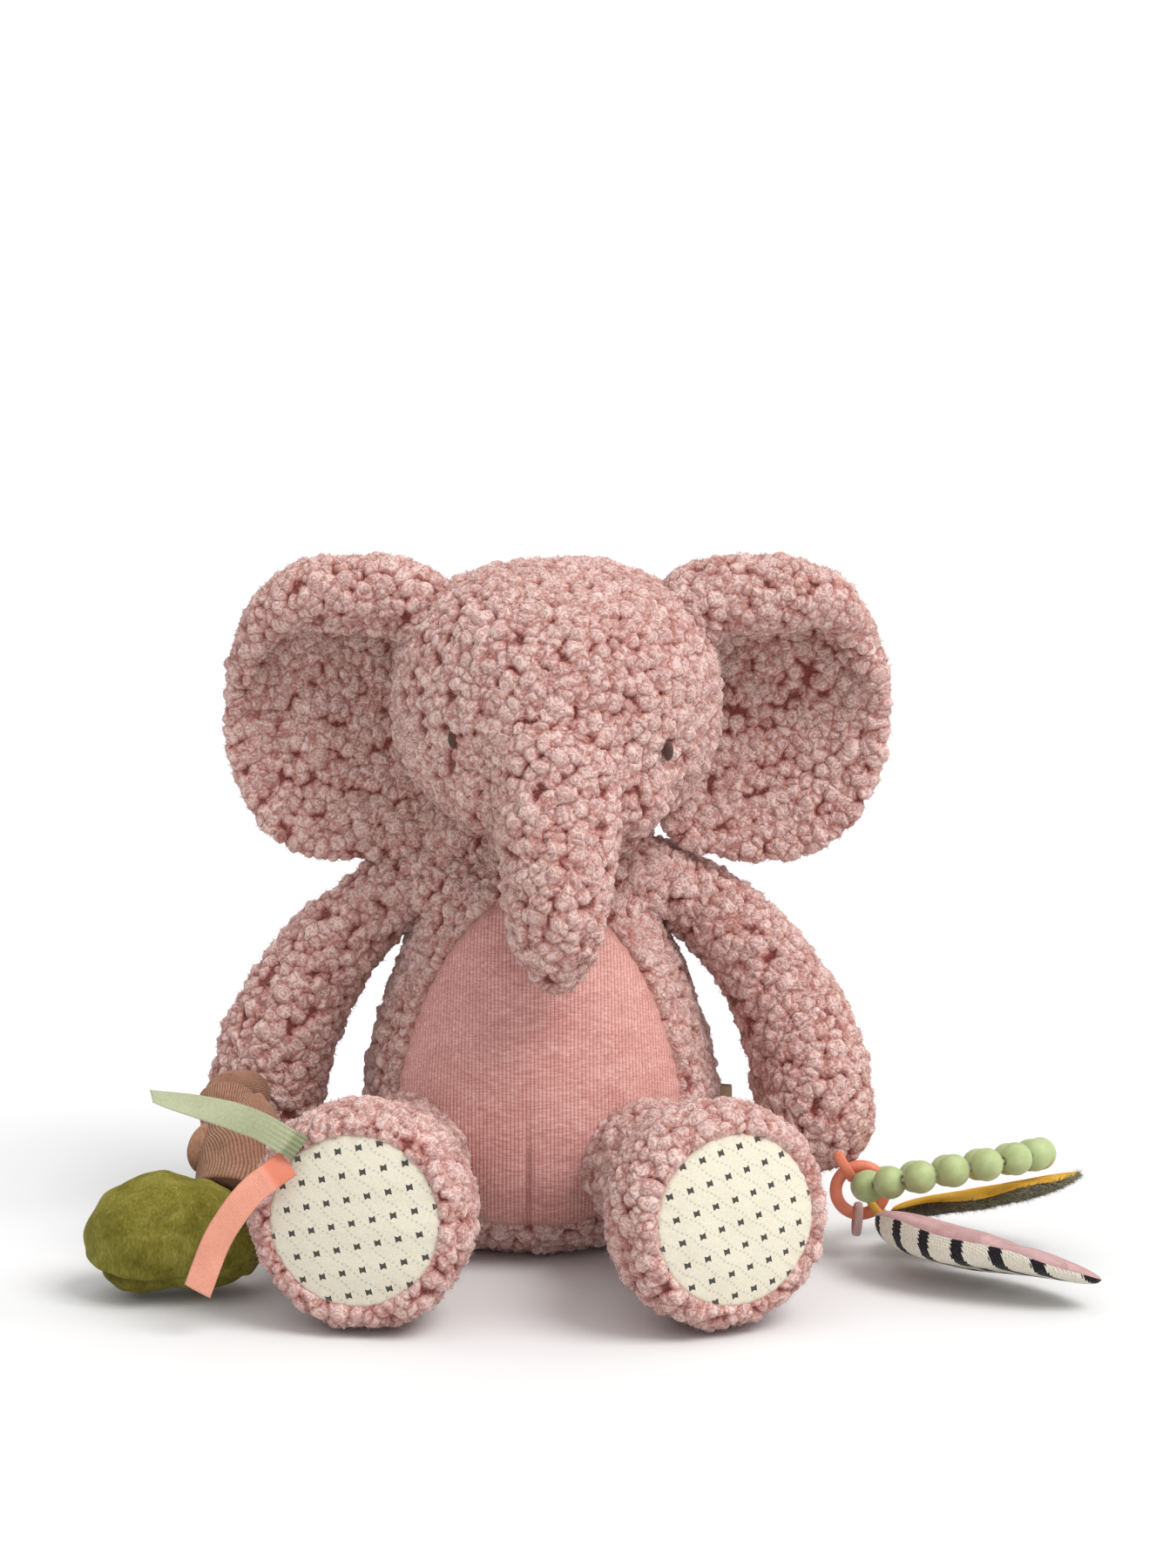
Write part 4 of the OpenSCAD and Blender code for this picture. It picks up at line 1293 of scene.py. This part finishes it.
def leaf_pieces(names, length, width, top, bottom, matrix, place, cap, shape):
    """Both halves of a pillow: the face above and the back below the seam, each with its thickness values."""
    sides, half_rings = 96, 15
    phi = full_turn(sides)
    x = length / 2 * (1 - np.cos(phi))
    y = np.where(phi < math.pi, -1, 1) * leaf_half_width(x, length, width)
    spine = length * 0.46
    shares = 1 - np.linspace(0, 1, half_rings) ** 1.7
    rings = []
    for level, q in [(1, q) for q in shares[::-1]] + [(-1, q) for q in shares[1:]]:
        q = max(q, 0.01)
        along, aside = spine + (x - spine) * q, y * q
        if level > 0:
            depth = thickness(along, *top) * (1 - q ** 4) ** 0.55
        else:
            depth = -thickness(along, *bottom) * (1 - q ** 5) ** 0.5
        rings.append(np.stack([along, aside, depth], 1))
    part = loft(rings)
    pillow = make_mesh(names[0], *part)
    index = np.arange(len(rings) * sides) // sides
    inflated(pillow, 3, cap, index == half_rings - 1)
    local = get_points(pillow)
    bpy.data.objects.remove(pillow)
    local = shape(local)
    pieces = []
    for name, low, high in ((names[0], 0, half_rings), (names[1], half_rings - 1, len(rings))):
        some = local[low * sides:high * sides]
        faces = grid_faces(high - low, sides, wrap=True)
        cap_ring = list(range(sides)) if low == 0 else [(high - low - 1) * sides + k for k in range(sides)]
        faces.append(cap_ring[::-1] if low == 0 else cap_ring)
        piece = make_mesh(name, some, faces)
        apply_modifier(piece, "SUBSURF", levels=1)
        fine = get_points(piece)
        set_uv(piece, fine[:, :2])
        set_attribute(piece, "depth", fine[:, 2])
        rim = np.abs(fine[:, 1]) / np.maximum(leaf_half_width(np.clip(fine[:, 0], 0, length), length, width), 1)
        set_attribute(piece, "shade", smoothstep(rim, 0.9, 1.0) * 0.5)
        set_points(piece, fine @ matrix.T + place)
        pieces.append(piece)
    return pieces


def olive_shape(p):
    out = p.copy()
    out[:, 1] += 1.3 * np.sin(p[:, 0] / 4.2) * smoothstep(-p[:, 1], 8, 20)
    out[:, 2] += 0.9 * np.sin(p[:, 0] / 6.5) * smoothstep(np.abs(p[:, 1]), 6, 20) + 2.2 * (p[:, 0] / 70) ** 6
    return out


def striped_shape(p):
    out = p.copy()
    rim = smoothstep(np.abs(p[:, 1]), 5, 18)
    out[:, 2] += 0.8 * np.sin(p[:, 0] / 8 + 0.6) * rim - 1.5 * np.exp(-((p[:, 0] - 55) / 5) ** 2) * (p[:, 2] > 0)
    return out


OLIVE_TURN, OLIVE_PLACE = turned(x=-15.5, y=-9.5), np.array([129.5, -42, 17.4])
STRIPED_TURN = turned(z=-31.5) @ turned(x=-21, y=6.4)
STRIPED_PLACE = np.array([122.5, -64.5, 21.6])
OLIVE_SIZE, STRIPED_SIZE = (70, 42), (88, 38)
LEAF_SWELL = 0.8
mustard, pile_back = leaf_pieces(("olive_leaf_mustard", "olive_leaf_long_pile"), *OLIVE_SIZE, (3.2, 0, 0, 70),
                                 (4.2, 1.4, 45, 70), OLIVE_TURN, OLIVE_PLACE, LEAF_SWELL, olive_shape)
mauve, striped = leaf_pieces(("striped_leaf_mauve", "striped_leaf_knit"), *STRIPED_SIZE, (5.0, 1.5, 50, 88),
                             (10.5, 6, 18, 84), STRIPED_TURN, STRIPED_PLACE, LEAF_SWELL, striped_shape)
dress(mustard, velour_material("mustard_velour", (176, 118, 18), (216, 162, 46), (236, 190, 92), 0.6, 8))
dress(mauve, velour_material("mauve_velour", (158, 120, 120), (184, 148, 148), (206, 176, 174), 0.6, 9))

# The long pile: fibres that lie towards the leaf's tip
pile_back, bare, count = grown(pile_back, "olive_leaf_pile", 16000, 3.0, 0.24,
                               OLIVE_TURN @ np.array([0.9, -0.15, -0.2]), 101)
set_attribute(pile_back, "tip", np.concatenate([np.zeros(bare), np.tile(SPIKE, count)]))


def pile_material():
    m = Material("olive_long_pile", roughness=0.7, sheen_weight=0.3, specular_ior_level=0.3)
    strand = m.noise(0.8, 3, m.scaled(0.5, 1, 1))
    dark = m.ramp(strand, (0.3, (44, 38, 18)), (0.7, (96, 86, 46)))
    light = m.ramp(strand, (0.3, (96, 86, 50)), (0.7, (186, 180, 136)))
    return m.finish(m.mix(m.attribute("tip"), dark, light))


dress(pile_back, pile_material())


def striped_material():
    m = Material("striped_knit", roughness=0.9, sheen_weight=0.12, specular_ior_level=0.2)
    along, aside = m.flat()
    around = m.add(aside, m.attribute("depth"))
    # The stripes lean towards the tip as they run under, and their edges step with the stitches
    sweep = m.add(along, m.times(m.add(aside, 19), -0.42))
    stitch = m.times(m.share(m.times(around, 0.9)), 0.9)
    at = m.math("DIVIDE", m.add(m.add(sweep, stitch), 2.2), 13.4)
    black = m.math("LESS_THAN", m.share(at), 0.33)
    cream = m.ramp(m.noise(0.9, 4, m.scaled(1, 1, 0.6)), (0.25, (208, 200, 182)), (0.75, (232, 227, 212)))
    cream = m.mix(m.ramp(m.noise(26, 1), (0.45, 0.0), (0.7, 0.6)), cream, (224, 204, 192))
    ink = m.ramp(m.noise(0.7, 2), (0.3, (18, 15, 20)), (0.8, (40, 34, 40)))
    colour = m.mix(black, cream, ink)
    wales = m.wave(sweep, 1.1)
    rows = m.wave(around, 0.8)
    return m.finish(colour, m.bump(m.add(wales, rows), 0.12, 0.8))


dress(striped, striped_material())
for piece, body, nodes, slot in (
        (mustard, "olive_leaf", ("olive_leaf_face", "olive_leaf_filling"), "mustard_velour"),
        (pile_back, "olive_leaf", ("olive_leaf_back",), "olive_pile"),
        (mauve, "striped_leaf", ("striped_leaf_face", "striped_leaf_filling"), "mauve_velour"),
        (striped, "striped_leaf", ("striped_leaf_back",), "striped_knit")):
    hand_over(piece, nodes, body)

# ---- Floor ----

FLOOR = 4000
floor = make_mesh("floor", [(x * FLOOR, y * FLOOR, 0) for x, y in ((-1, -1), (1, -1), (1, 1), (-1, 1))], [[0, 1, 2, 3]])
paper = Material("floor_paper", roughness=0.9, specular_ior_level=0.1)
dress(floor, paper.finish(paper.ramp(paper.noise(60, 2), (0, (222, 223, 224)), (1, (226, 226, 227)))))
